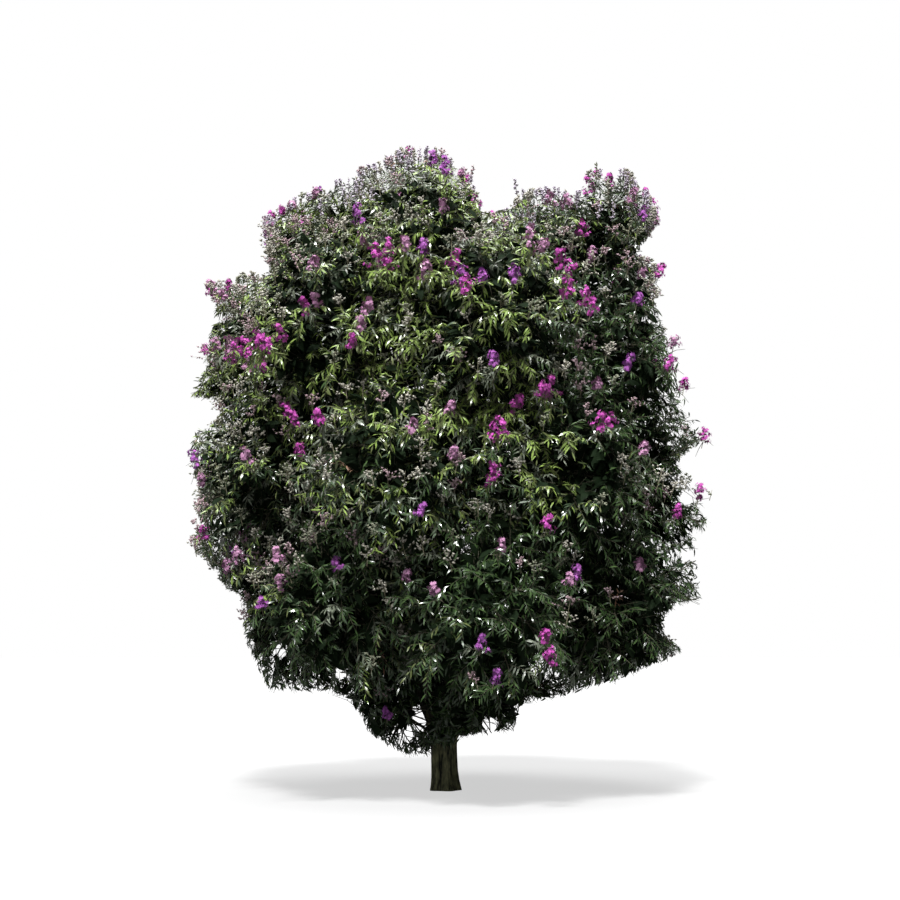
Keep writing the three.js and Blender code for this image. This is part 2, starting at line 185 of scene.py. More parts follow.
def pixelsApart(pixels, x, y):  # how far points of the picture are from one place in it
    return np.linalg.norm(pixels - np.array((x, y)), axis=1)


studio = dict(skyBright=0.38, skyDim=0.015, skyDimAt=-0.5, skyFrom=(-0.6, -0.5, 0.6),
              skyTint=(0.95, 0.98, 1.0), floorSize=400, floorShade=0.16, floorLift=0.60, floorRoughness=0.9,
              lightAway=12,
              # where each light shines to, its power, and its width in degrees
              lights=dict(keySun=((0.1, 0.5, -0.85), 7.0, 10), topSun=((0.0, -0.15, -0.99), 4.2, 48)))

sky = bpy.data.worlds.new("studioSky")
bpy.context.scene.world = sky
sky.use_nodes = True
skyTree = sky.node_tree
skyTree.nodes.clear()
skyPlace = addNode(skyTree, "ShaderNodeTexCoord")
# the sky is brightest high on the left, towards the viewer
skySide = addNode(skyTree, "ShaderNodeVectorMath", {1: unit(studio["skyFrom"])}, operation="DOT_PRODUCT")
skyRange = addNode(skyTree, "ShaderNodeMapRange", {"From Min": studio["skyDimAt"], "To Min": studio["skyDim"],
                                                   "To Max": studio["skyBright"]})
skyLight = addNode(skyTree, "ShaderNodeBackground", {"Color": (*studio["skyTint"], 1)})
skySeen = addNode(skyTree, "ShaderNodeBackground", {"Color": white})
skyPath = addNode(skyTree, "ShaderNodeLightPath")
skyMix = addNode(skyTree, "ShaderNodeMixShader")
skyOut = addNode(skyTree, "ShaderNodeOutputWorld")
wire(skyTree, (skyPlace, "Generated", skySide, 0), (skySide, "Value", skyRange, "Value"),
     (skyRange, "Result", skyLight, "Strength"), (skyPath, "Is Camera Ray", skyMix, 0),
     (skyLight, 0, skyMix, 1), (skySeen, 0, skyMix, 2), (skyMix, 0, skyOut, 0))

for name, (aim, power, spread) in studio["lights"].items():
    aim = unit(aim)
    bpy.ops.object.light_add(type="SUN", location=tuple(-studio["lightAway"] * aim))
    light = bpy.context.object
    light.name = name
    light.data.energy = power
    light.data.angle = math.radians(spread)
    light.rotation_euler = (math.acos(-aim[2]), 0, math.atan2(aim[1], aim[0]) - math.pi / 2)

clearSelection()
bpy.ops.mesh.primitive_plane_add(size=studio["floorSize"], location=(0, 0, 0))
floor = bpy.context.object
floor.name = "floor"
floorLook, floorTree, floorSkin = newLook("paleFloor")
setSockets(floorSkin, {"Base Color": (*[studio["floorShade"]] * 3, 1), "Roughness": studio["floorRoughness"],
                       "Specular IOR Level": 0.0, "Emission Color": white})
floorPath = addNode(floorTree, "ShaderNodeLightPath")
# the floor is lifted to white for the camera only
floorLift = addNode(floorTree, "ShaderNodeMapRange", {"To Max": studio["floorLift"]})
wire(floorTree, (floorPath, "Is Camera Ray", floorLift, "Value"),
     (floorLift, "Result", floorSkin, "Emission Strength"))
floor.data.materials.append(floorLook)
print("tree: camera, light and floor set")


# Finishes

# leaf mottle: a slow drift between a deep and a fresh tone, with gloss that varies
mottleMake = dict(scale=16.0, detail=5.0, roughness=0.7, deepAt=0.3, freshAt=0.7, glossPlay=0.16)
leafMottle, mottleIn, mottleOut = newGroup("leafMottle", dict(Deep="Color", Fresh="Color", Gloss="Float"),
                                           dict(Color="Color", Roughness="Float"))
mottlePlace = addNode(leafMottle, "ShaderNodeTexCoord")
mottleNoise = addNode(leafMottle, "ShaderNodeTexNoise", {
    "Scale": mottleMake["scale"], "Detail": mottleMake["detail"], "Roughness": mottleMake["roughness"]})
mottleSpread = addNode(leafMottle, "ShaderNodeMapRange", {
    "From Min": mottleMake["deepAt"], "From Max": mottleMake["freshAt"]})
mottleMix = addNode(leafMottle, "ShaderNodeMix", data_type="RGBA")
mottleGloss = addNode(leafMottle, "ShaderNodeMath", {1: mottleMake["glossPlay"]}, operation="MULTIPLY_ADD")
wire(leafMottle, (mottlePlace, "Object", mottleNoise, "Vector"), (mottleNoise, "Fac", mottleSpread, "Value"),
     (mottleSpread, "Result", mottleMix, mixFactor), (mottleIn, "Deep", mottleMix, mixFirst),
     (mottleIn, "Fresh", mottleMix, mixSecond), (mottleNoise, "Fac", mottleGloss, 0),
     (mottleIn, "Gloss", mottleGloss, 2), (mottleMix, mixResult, mottleOut, "Color"),
     (mottleGloss, 0, mottleOut, "Roughness"))

# bark streaks: upright streaks and flecks that drive colour, gloss and relief
streakMake = dict(stretch=(1, 1, 0.16), detail=8.0, roughness=0.68, darkAt=0.40, paleAt=0.66, darkGloss=0.95,
                  paleGloss=0.62, fleckScale=11.0, fleckDetail=4.0, fleckShare=0.7, fleckDark=0.45,
                  fleckPale=1.35)
barkStreaks, streakIn, streakOut = newGroup("barkStreaks", dict(Dark="Color", Pale="Color", Scale="Float"),
                                            dict(Color="Color", Roughness="Float", Height="Float"))
streakPlace = addNode(barkStreaks, "ShaderNodeTexCoord")
streakStretch = addNode(barkStreaks, "ShaderNodeMapping", {"Scale": streakMake["stretch"]})
streakNoise = addNode(barkStreaks, "ShaderNodeTexNoise", {
    "Detail": streakMake["detail"], "Roughness": streakMake["roughness"]})
fleckNoise = addNode(barkStreaks, "ShaderNodeTexNoise", {
    "Scale": streakMake["fleckScale"], "Detail": streakMake["fleckDetail"]})
streakRange = addNode(barkStreaks, "ShaderNodeMapRange", {
    "From Min": streakMake["darkAt"], "From Max": streakMake["paleAt"]})
streakMix = addNode(barkStreaks, "ShaderNodeMix", data_type="RGBA")
fleckMix = addNode(barkStreaks, "ShaderNodeMix", {mixFactor: streakMake["fleckShare"]}, data_type="RGBA",
                   blend_type="MULTIPLY")
fleckRamp = addNode(barkStreaks, "ShaderNodeMapRange", {
    "To Min": streakMake["fleckDark"], "To Max": streakMake["fleckPale"]})
streakGloss = addNode(barkStreaks, "ShaderNodeMapRange", {
    "To Min": streakMake["darkGloss"], "To Max": streakMake["paleGloss"]})
wire(barkStreaks, (streakPlace, "Object", streakStretch, "Vector"),
     (streakStretch, "Vector", streakNoise, "Vector"),
     (streakIn, "Scale", streakNoise, "Scale"), (streakPlace, "Object", fleckNoise, "Vector"),
     (streakNoise, "Fac", streakRange, "Value"), (streakRange, "Result", streakMix, mixFactor),
     (streakIn, "Dark", streakMix, mixFirst), (streakIn, "Pale", streakMix, mixSecond),
     (fleckNoise, "Fac", fleckRamp, "Value"), (streakMix, mixResult, fleckMix, mixFirst),
     (fleckRamp, "Result", fleckMix, mixSecond), (streakNoise, "Fac", streakGloss, "Value"),
     (fleckMix, mixResult, streakOut, "Color"), (streakGloss, "Result", streakOut, "Roughness"),
     (streakNoise, "Fac", streakOut, "Height"))


def leafFinish(name, deep, fresh, under, gloss, shine=0.5):
    look, tree, skin = newLook(name)
    setSockets(skin, {"Specular IOR Level": shine})
    mottle = addNode(tree, "ShaderNodeGroup", {"Deep": (*deep, 1), "Fresh": (*fresh, 1), "Gloss": gloss},
                     node_tree=leafMottle)
    facing = addNode(tree, "ShaderNodeNewGeometry")
    twoSided = addNode(tree, "ShaderNodeMix", data_type="RGBA")
    setSockets(twoSided, {mixSecond: (*under, 1)})
    wire(tree, (facing, "Backfacing", twoSided, mixFactor), (mottle, "Color", twoSided, mixFirst),
         (twoSided, mixResult, skin, "Base Color"), (mottle, "Roughness", skin, "Roughness"))
    return look


barkMake = dict(shine=0.3, bump=0.6)


def barkFinish(name, dark, pale, scale, relief):
    look, tree, skin = newLook(name)
    setSockets(skin, {"Specular IOR Level": barkMake["shine"]})
    streaks = addNode(tree, "ShaderNodeGroup", {"Dark": (*dark, 1), "Pale": (*pale, 1), "Scale": scale},
                      node_tree=barkStreaks)
    bump = addNode(tree, "ShaderNodeBump", {"Strength": barkMake["bump"], "Distance": relief})
    wire(tree, (streaks, "Color", skin, "Base Color"), (streaks, "Roughness", skin, "Roughness"),
         (streaks, "Height", bump, "Height"), (bump, "Normal", skin, "Normal"))
    return look


# the greens from shade green through mid, blue and olive to fresh green are lit and shaded copies of one
# leaf, dealt out by spray as painted light and shade; the grey green is a painted sheen of the sky; the inner
# shade is a near-black painted shade
leafTones = dict(  # deep tone, fresh tone, underside, roughness and, for the matt inner leaves, shine
    shadeGreen=((0.012, 0.026, 0.008), (0.028, 0.053, 0.016), (0.036, 0.058, 0.024), 0.18),
    midGreen=((0.025, 0.050, 0.015), (0.057, 0.097, 0.031), (0.072, 0.104, 0.044), 0.16),
    blueGreen=((0.033, 0.055, 0.030), (0.068, 0.099, 0.055), (0.09, 0.12, 0.075), 0.15),
    oliveGreen=((0.062, 0.080, 0.026), (0.120, 0.144, 0.050), (0.13, 0.155, 0.07), 0.2),
    freshGreen=((0.120, 0.185, 0.040), (0.230, 0.320, 0.076), (0.22, 0.28, 0.1), 0.2),
    greyGreen=((0.080, 0.098, 0.066), (0.145, 0.165, 0.120), (0.15, 0.17, 0.13), 0.26),
    bronzeLeaf=((0.120, 0.066, 0.040), (0.210, 0.110, 0.066), (0.18, 0.12, 0.09), 0.4),
    innerShade=((0.003, 0.008, 0.002), (0.007, 0.016, 0.005), (0.005, 0.011, 0.004), 0.7, 0.1),
)
leafLooks = [leafFinish(name, *tones) for name, tones in leafTones.items()]
leafNames = list(leafTones)

petalShine = 0.2
blossomTones = dict(  # deep tone, fresh tone, underside and roughness
    magentaPetal=((0.280, 0.030, 0.215), (0.540, 0.095, 0.430), (0.38, 0.08, 0.31), 0.6),
    purplePetal=((0.200, 0.045, 0.230), (0.400, 0.120, 0.430), (0.28, 0.09, 0.32), 0.6),
    palePetal=((0.300, 0.130, 0.240), (0.500, 0.270, 0.420), (0.36, 0.18, 0.3), 0.65),
)
blossomLooks = [leafFinish(name, *tones, petalShine) for name, tones in blossomTones.items()]
magenta, purple, pale = range(len(blossomTones))

budShine = 0.3
budTones = dict(
    tanBud=((0.240, 0.228, 0.190), (0.425, 0.405, 0.345), (0.22, 0.2, 0.16), 0.6),
    oliveBud=((0.140, 0.150, 0.100), (0.255, 0.265, 0.195), (0.13, 0.13, 0.09), 0.6),
    pinkBud=((0.255, 0.170, 0.190), (0.410, 0.295, 0.320), (0.22, 0.15, 0.17), 0.6),
    lilacBud=((0.330, 0.285, 0.350), (0.560, 0.505, 0.580), (0.33, 0.28, 0.35), 0.6),
)
budLooks = [leafFinish(name, *tones, budShine) for name, tones in budTones.items()]
budNames = list(budTones)

barkTones = dict(  # dark tone, pale tone, how fine the streaks are, and the depth of the relief
    trunkBark=((0.004, 0.006, 0.003), (0.360, 0.360, 0.190), 25.0, 0.02),
    boughBark=((0.020, 0.020, 0.013), (0.090, 0.082, 0.060), 42.0, 0.006),
    panicleStalk=((0.090, 0.085, 0.050), (0.230, 0.210, 0.140), 70.0, 0.001),
    twigBark=((0.040, 0.042, 0.026), (0.120, 0.110, 0.070), 70.0, 0.002),
)
barkLooks = {name: barkFinish(name, *tones) for name, tones in barkTones.items()}
print("tree: finishes made")


# The crown's plan: the same rings of masses that the solids have

trunkPlan = dict(neckRadius=0.145, flareRadius=0.178, flareHeight=0.115, forkRadius=0.196, swellFrom=0.4,
                 forkHeight=0.9, topHeight=1.04, topClose=0.7, lean=-0.028, leanCurve=1.2, rootLobes=5,
                 lobeDepth=0.08, forkLobeShare=0.5)
mainPlan = dict(count=7, turn=180, rootRadius=0.064, tipRadius=0.027, outward=0.42, upward=0.9)
sidePlan = dict(rootRadius=0.042, tipRadius=0.020, onward=0.6, outward=0.55)
boughBend = 0.38

tiers = [
    dict(name="hem", count=3, turn=207, height=1.05, rise=0.06, dip=0, reach=0.65, skew=-0.06, radius=0.62),
    dict(name="skirt", count=7, turn=180, height=2.11, rise=0, dip=0, reach=1.8, skew=0.12, radius=0.98),
    dict(name="waist", count=7, turn=0, height=3.54, rise=0, dip=0, reach=1.95, skew=-0.03, radius=1.07),
    dict(name="shoulder", count=7, turn=180, height=5.0, rise=-0.18, dip=0, reach=1.77, skew=-0.03,
         radius=1.07),
    dict(name="crest", count=4, turn=2, height=6.19, rise=0.06, dip=0.27, reach=1.4, skew=0.17, radius=0.98),
    dict(name="cleft", count=1, turn=0, height=5.9, rise=0, dip=0, reach=0.6, skew=0, radius=0.74),
    dict(name="top", count=1, turn=190, height=6.42, rise=0, dip=0, reach=0.44, skew=0, radius=0.98),
]
habits = dict(
    hem=dict(lift=8, start=0.62, entry=0),
    skirt=dict(lift=6, start=0.2, entry=0.74),
    waist=dict(lift=26, start=0.36, entry=0.74),
    shoulder=dict(lift=52, entry=0.74),
    crest=dict(lift=64, start=0.62, entry=0.74),
    cleft=dict(lift=80, start=0.55, entry=0.74),
    top=dict(lift=84, start=0.7, entry=0.74),
)
crownPlan = dict(seed=20, uneven=0.05, heartHeight=3.7, heartTilt=0.8)
streamMake = dict(stride=0x6D2B79F5, shifts=(15, 7, 14), lowBits=61, full=0xFFFFFFFF)


def steadyStream(seed):  # the seeded stream that the solids are laid out by
    firstShift, nextShift, lastShift = streamMake["shifts"]
    full = streamMake["full"]
    state = seed
    while True:
        state = (state + streamMake["stride"]) & full
        mixed = ((state ^ (state >> firstShift)) * (state | 1)) & full
        mixed ^= (mixed + ((mixed ^ (mixed >> nextShift)) * (mixed | streamMake["lowBits"]))) & full
        yield ((mixed ^ (mixed >> lastShift)) & full) / (full + 1)


def layOutMasses():
    stream = steadyStream(crownPlan["seed"])
    masses = []
    for tier in tiers:
        for k in range(tier["count"]):
            azimuth = math.radians(tier["turn"] + 360 * k / tier["count"])
            stray = 1 + crownPlan["uneven"] * (2 * next(stream) - 1)
            reach = tier["reach"] * (1 + tier["skew"] * math.cos(azimuth)) * stray
            sway = tier["rise"] * math.cos(azimuth) - tier["dip"] * abs(math.sin(azimuth))
            stray = 1 + crownPlan["uneven"] * (2 * next(stream) - 1)
            height = tier["height"] + sway + tier["radius"] * (stray - 1)
            centre = outward(azimuth) * reach + up * height
            habit = habits[tier["name"]]
            lift = math.radians(habit["lift"])
            direction = blend(outward(azimuth), math.cos(lift), up, math.sin(lift))
            tilt = crownPlan["heartTilt"] * (height - crownPlan["heartHeight"])
            suffix = "_%d" % (k + 1) if tier["count"] > 1 else ""
            masses.append(dict(tier=tier["name"], node=tier["name"] + "_foliage" + suffix, suffix=suffix,
                               azimuth=azimuth, centre=centre, radius=tier["radius"], direction=direction,
                               tip=centre - direction * habit["entry"] * tier["radius"],
                               facing=unit(outward(azimuth) * reach + up * tilt)))
    return masses


masses = layOutMasses()
centres = np.array([mass["centre"] for mass in masses])
radii = np.array([mass["radius"] for mass in masses])


def trunkAxis(height):
    lean = trunkPlan["lean"] * (height / trunkPlan["forkHeight"]) ** trunkPlan["leanCurve"]
    return np.array((lean, 0, height))


def trunkRadius(height, angle):
    plan = trunkPlan
    flare = (plan["flareRadius"] - plan["neckRadius"]) * math.exp(-height / plan["flareHeight"])
    share = min(1, max(0, (height - plan["swellFrom"]) / (plan["forkHeight"] - plan["swellFrom"])))
    swell = share * share * (3 - 2 * share)
    closing = max(0, (height - plan["forkHeight"]) / (plan["topHeight"] - plan["forkHeight"]))
    fading = math.exp(-height / (2 * plan["flareHeight"]))
    rootLobe = plan["lobeDepth"] * math.cos(plan["rootLobes"] * angle) * fading
    forkDepth = plan["forkLobeShare"] * plan["lobeDepth"]
    forkLobe = forkDepth * math.cos(mainPlan["count"] * (angle - math.pi)) * swell
    around = plan["neckRadius"] + flare + (plan["forkRadius"] - plan["neckRadius"]) * swell
    return around * (1 + rootLobe + forkLobe) * math.sqrt(1 - plan["topClose"] * closing * closing)


def boughHandles(start, startDirection, tip, tipDirection):
    hold = boughBend * np.linalg.norm(tip - start)
    return np.array((start, start + startDirection * hold, tip - tipDirection * hold, tip))


def onBough(handles, share):
    start, leaving, arriving, tip = handles
    rest = 1 - share
    point = (rest**3 * start + 3 * rest * rest * share * leaving
             + 3 * rest * share * share * arriving + share**3 * tip)
    tangent = unit(rest * rest * (leaving - start) + 2 * rest * share * (arriving - leaving)
                   + share * share * (tip - arriving))
    return point, tangent


def planBoughs():
    boughs = []
    for number, mass in enumerate(masses):
        if mass["tier"] != "shoulder":
            continue
        away = outward(mass["azimuth"])
        depth = 2 * mainPlan["rootRadius"]
        start = trunkAxis(trunkPlan["forkHeight"] - depth) + away * depth
        leaving = blend(away, mainPlan["outward"], up, mainPlan["upward"])
        handles = boughHandles(start, leaving, mass["tip"], mass["direction"])
        boughs.append(dict(node="main_bough" + mass["suffix"], mass=number, handles=handles, plan=mainPlan))
    for number, mass in enumerate(masses):
        if mass["tier"] in ("shoulder", "hem"):
            continue
        turns = (mass["azimuth"] - math.radians(mainPlan["turn"])) / (2 * math.pi)
        main = boughs[round(turns * mainPlan["count"]) % mainPlan["count"]]["handles"]
        point, tangent = onBough(main, habits[mass["tier"]]["start"])
        leaving = blend(tangent, sidePlan["onward"], outward(mass["azimuth"]), sidePlan["outward"])
        handles = boughHandles(point, leaving, mass["tip"], mass["direction"])
        node = mass["tier"] + "_bough" + mass["suffix"]
        boughs.append(dict(node=node, mass=number, handles=handles, plan=sidePlan))
    return boughs


boughs = planBoughs()
print("tree: plan of", len(masses), "masses and", len(boughs), "boughs")


# Trunk, drawn up ring by ring from the ground

trunkMake = dict(sides=72, topInset=0.35, finer=2, groundSnap=0.004,
                 ringHeights=(0.02, 0.05, 0.09, 0.14, 0.2, 0.28, 0.37, 0.47, 0.58, 0.69, 0.79, 0.87, 0.93,
                              0.98, 1.02, 1.04),
                 # how large, how deep and how stretched upwards the relief is
                 lumps=(0.16, 0.014, 2.2), fissures=(0.05, 0.016, 7.0))


def displaceBy(piece, name, size, depth, upright):  # pushes the surface out and in by a stretched pattern
    grain = bpy.data.textures.new(name, "CLOUDS")
    grain.noise_scale = size
    bpy.ops.object.empty_add(location=(0, 0, 0))
    guide = bpy.context.object
    guide.scale = (1, 1, upright)
    clearSelection()
    bpy.context.view_layer.objects.active = piece
    piece.select_set(True)
    push = piece.modifiers.new(name, "DISPLACE")
    push.texture = grain
    push.texture_coords = "OBJECT"
    push.texture_coords_object = guide
    push.strength = depth
    bpy.ops.object.modifier_apply(modifier=push.name)
    bpy.data.objects.remove(guide)
    bpy.data.textures.remove(grain)


clearSelection()
bpy.ops.mesh.primitive_circle_add(vertices=trunkMake["sides"], radius=1, fill_type="NGON", location=(0, 0, 0))
trunk = bpy.context.object
trunk.name = "trunkBark"
lastHeight = 0.0
bpy.ops.object.mode_set(mode="EDIT")
bpy.ops.mesh.select_mode(type="FACE")
bpy.ops.mesh.select_all(action="SELECT")
for ringHeight in trunkMake["ringHeights"]:
    bpy.ops.mesh.extrude_region_move(TRANSFORM_OT_translate={"value": (0, 0, ringHeight - lastHeight)})
    lastHeight = ringHeight
bpy.ops.mesh.inset(thickness=trunkMake["topInset"])
bpy.ops.mesh.select_mode(type="VERT")
bpy.ops.object.mode_set(mode="OBJECT")
for point in trunk.data.vertices:
    angle = math.atan2(point.co.y, point.co.x)
    share = min(1.0, math.hypot(point.co.x, point.co.y))
    axis = trunkAxis(point.co.z)
    radius = trunkRadius(point.co.z, angle) * share
    point.co = (axis[0] + radius * math.cos(angle), axis[1] + radius * math.sin(angle), point.co.z)
finer = trunk.modifiers.new("finer", "SUBSURF")
finer.subdivision_type = "SIMPLE"
finer.levels = finer.render_levels = trunkMake["finer"]
bpy.ops.object.modifier_apply(modifier=finer.name)
displaceBy(trunk, "trunkLumps", *trunkMake["lumps"])
displaceBy(trunk, "trunkFissures", *trunkMake["fissures"])
for point in trunk.data.vertices:  # the cut at the ground stays flat
    if point.co.z < trunkMake["groundSnap"]:
        point.co.z = 0
editAll()
bpy.ops.mesh.normals_make_consistent(inside=False)
bpy.ops.object.mode_set(mode="OBJECT")
bpy.ops.object.shade_smooth()
trunk.data.materials.append(barkLooks["trunkBark"])
seat(trunk, "bark", "trunk")
print("tree: trunk", len(trunk.data.polygons), "faces")


# Boughs, drawn as tapering curves and given relief

boughMake = dict(sides=3, steps=22, mergeBelow=0.0005, relief=(0.07, 0.006, 4.0))

boughPieces = []
for bough in boughs:
    clearSelection()
    bpy.ops.curve.primitive_bezier_curve_add(location=(0, 0, 0))
    limb = bpy.context.object
    start, leaving, arriving, tip = [tuple(point) for point in bough["handles"]]
    first, last = limb.data.splines[0].bezier_points
    for knot in (first, last):
        knot.handle_left_type = knot.handle_right_type = "FREE"
    first.co, first.handle_right, first.handle_left = start, leaving, start
    last.co, last.handle_left, last.handle_right = tip, arriving, tip
    first.radius, last.radius = bough["plan"]["rootRadius"], bough["plan"]["tipRadius"]
    limb.data.bevel_depth = 1.0  # a knot's radius is then the bough's own
    limb.data.bevel_resolution = boughMake["sides"]
    limb.data.resolution_u = boughMake["steps"]
    limb.data.use_fill_caps = True
    bpy.ops.object.convert(target="MESH")
    boughPieces.append(bpy.context.object)
clearSelection()
for limb in boughPieces:
    limb.select_set(True)
boughWood = boughPieces[0]
bpy.context.view_layer.objects.active = boughWood
bpy.ops.object.join()
boughWood.name = "boughBark"
editAll()
bpy.ops.mesh.remove_doubles(threshold=boughMake["mergeBelow"])
bpy.ops.mesh.normals_make_consistent(inside=False)
bpy.ops.object.mode_set(mode="OBJECT")
displaceBy(boughWood, "boughRelief", *boughMake["relief"])
bpy.ops.object.shade_smooth()
boughWood.data.materials.clear()
boughWood.data.materials.append(barkLooks["boughBark"])
seat(boughWood, "bark", *[bough["node"] for bough in boughs])
print("tree: boughs", len(boughWood.data.polygons), "faces")


# One leaf, one flower and one bud, modelled once and stamped many times

leafMake = dict(corners=6, width=0.2, shadeWidth=0.42, lowRow=0.25, highRow=0.75, widestAt=0.36,
                shoulderAt=0.7, shoulderWidth=0.72, shoulderSag=0.04, tipSag=0.16, ribHalf=0.01, tipFrom=0.95)


def modelLeaf(width):  # six corners in four triangles, bent along its length, one unit long
    half = 0.5
    clearSelection()
    bpy.ops.mesh.primitive_circle_add(vertices=leafMake["corners"], radius=half, fill_type="NGON",
                                      location=(0, 0, 0))
    leaf = bpy.context.object
    halfWidth = half * math.cos(math.pi / leafMake["corners"])

    def atWidest(co):
        return abs(co.x) > leafMake["ribHalf"] and co.y < half

    def atShoulder(co):
        return abs(co.x) > leafMake["ribHalf"] and co.y > half

    editAll()
    bpy.ops.transform.resize(value=(half * width / halfWidth, 1, 1), center_override=(0, 0, 0))
    bpy.ops.transform.translate(value=(0, half, 0))
    pick(leaf, atWidest)  # the widest place lies towards the stalk
    bpy.ops.transform.translate(value=(0, leafMake["widestAt"] - leafMake["lowRow"], 0))
    pick(leaf, atShoulder)
    bpy.ops.transform.resize(value=(leafMake["shoulderWidth"], 1, 1),
                             center_override=(0, leafMake["highRow"], 0))
    bpy.ops.transform.translate(value=(0, leafMake["shoulderAt"] - leafMake["highRow"], 0))
    bpy.ops.mesh.select_all(action="SELECT")
    bpy.ops.mesh.quads_convert_to_tris()
    pick(leaf, atShoulder)
    bpy.ops.transform.translate(value=(0, 0, -leafMake["shoulderSag"]))
    pick(leaf, lambda co: co.y > leafMake["tipFrom"])
    bpy.ops.transform.translate(value=(0, 0, -leafMake["tipSag"]))
    return patternOf(leaf)


flowerMake = dict(petals=6, rimReach=(0.45, 1.0), rimLift=(0.02, 0.28), heart=0.1)


def modelFlower():  # a rim that swings in and out, one petal to each swing
    clearSelection()
    rim = len(flowerMake["rimReach"])
    count = flowerMake["petals"] * rim
    bpy.ops.mesh.primitive_circle_add(vertices=count, radius=1, fill_type="TRIFAN", location=(0, 0, 0))
    flower = bpy.context.object
    for k in range(rim):
        def onRim(co):
            turn = round(math.atan2(co.y, co.x) / (2 * math.pi) * count)
            return math.hypot(co.x, co.y) > flowerMake["heart"] and turn % rim == k
        pick(flower, onRim)
        reach = flowerMake["rimReach"][k]
        bpy.ops.transform.resize(value=(reach, reach, 1), center_override=(0, 0, 0))
        bpy.ops.transform.translate(value=(0, 0, flowerMake["rimLift"][k]))
    return patternOf(flower)


budMake = dict(sides=3, point=1.9)


def modelBud():
    clearSelection()
    bpy.ops.mesh.primitive_cone_add(vertices=budMake["sides"], radius1=1, radius2=0, depth=budMake["point"],
                                    location=(0, 0, 0))
    return patternOf(bpy.context.object)


leafPattern = modelLeaf(leafMake["width"])
shadePattern = modelLeaf(leafMake["shadeWidth"])
flowerPattern = modelFlower()
budPattern = modelBud()
faceCounts = [len(faces) for _, faces in (leafPattern, flowerPattern, budPattern)]
print("tree: leaf, flower and bud modelled,", faceCounts, "faces")


def stamp(pattern, roots, along, face, sizes):  # copies of a pattern, its +Y along and its +Z towards face
    points, faces = pattern
    side = unit(np.cross(along, face))
    square = np.cross(side, along)
    turned = (points[None, :, 0:1] * side[:, None, :] + points[None, :, 1:2] * along[:, None, :]
              + points[None, :, 2:3] * square[:, None, :])
    placed = roots[:, None, :] + turned * sizes[:, None, None]
    numbered = faces[None] + (np.arange(len(roots)) * len(points))[:, None, None]
    return placed.reshape(-1, 3), numbered.reshape(-1, 3)


twigMake = dict(sides=3, upright=0.95)


def tubes(paths, radii, capped=False):  # three-sided twigs along rows of points
    count, steps, _ = paths.shape
    sides = twigMake["sides"]
    running = unit(np.gradient(paths, axis=1))
    side = unit(np.cross(running, np.where(np.abs(running[..., 2:3]) > twigMake["upright"], sideways, up)))
    square = np.cross(side, running)
    rings = []
    for k in range(sides):
        turn = 2 * math.pi * k / sides
        rings.append(paths + (side * math.cos(turn) + square * math.sin(turn)) * radii[:, :, None])
    points = np.stack(rings, 2).reshape(-1, 3)
    faces = []
    for step in range(steps - 1):
        for k in range(sides):
            here, beside = step * sides + k, step * sides + (k + 1) % sides
            faces += [(here, here + sides, beside), (beside, here + sides, beside + sides)]
    end = (steps - 1) * sides
    faces += [(0, 1, 2), (end + 2, end + 1, end)] if capped else [(end + 2, end + 1, end)]
    numbered = np.array(faces)[None] + (np.arange(count) * steps * sides)[:, None, None]
    return points, numbered.reshape(-1, 3)


def meshPiece(name, points, faces, tones, looks):
    mesh = bpy.data.meshes.new(name)
    mesh.vertices.add(len(points))
    mesh.vertices.foreach_set("co", np.asarray(points, np.float32).ravel())
    mesh.loops.add(faces.size)
    mesh.loops.foreach_set("vertex_index", np.asarray(faces, np.int32).ravel())
    mesh.polygons.add(len(faces))
    mesh.polygons.foreach_set("loop_start", np.arange(0, faces.size, 3, dtype=np.int32))
    mesh.polygons.foreach_set("material_index", np.asarray(tones, np.int32))
    mesh.update(calc_edges=True)
    mesh.validate()
    for look in looks:
        mesh.materials.append(look)
    piece = bpy.data.objects.new(name, mesh)
    bpy.context.scene.collection.objects.link(piece)
    print("tree:", name, len(faces), "triangles")
    return piece


# The crown's limits

# how far the crown reaches to each side of the trunk, by height, as it shows from the front
leftReach = ((0.38, 0.45), (0.65, 0.88), (0.95, 1.0), (1.08, 1.25), (1.11, 2.0), (1.65, 2.27),
             (2.2, 2.35), (2.26, 2.5), (2.45, 2.62), (2.64, 2.78), (2.68, 2.87), (3.4, 2.82),
             (3.75, 2.95), (4.1, 2.92), (4.25, 2.64), (4.44, 2.62), (4.49, 2.95), (4.6, 3.0), (4.8, 2.83),
             (5.5, 2.7), (5.85, 2.78), (6.0, 2.03), (6.35, 2.1), (6.7, 2.05), (7.05, 1.33), (7.4, 0.6))
rightReach = ((0.58, 0.1), (0.66, 0.78), (0.95, 0.85), (1.04, 1.3), (1.2, 1.9), (1.55, 2.72),
              (1.64, 2.68), (1.72, 2.52), (1.95, 2.5), (2.08, 2.66), (2.12, 2.93), (2.7, 2.9),
              (3.05, 3.06), (3.4, 2.9), (3.75, 2.7), (4.1, 3.11), (4.4, 2.75), (5.1, 2.62), (5.85, 2.42),
              (6.0, 2.52), (6.2, 2.25), (6.55, 2.48), (6.9, 2.4), (7.25, 2.1), (7.4, 1.8))
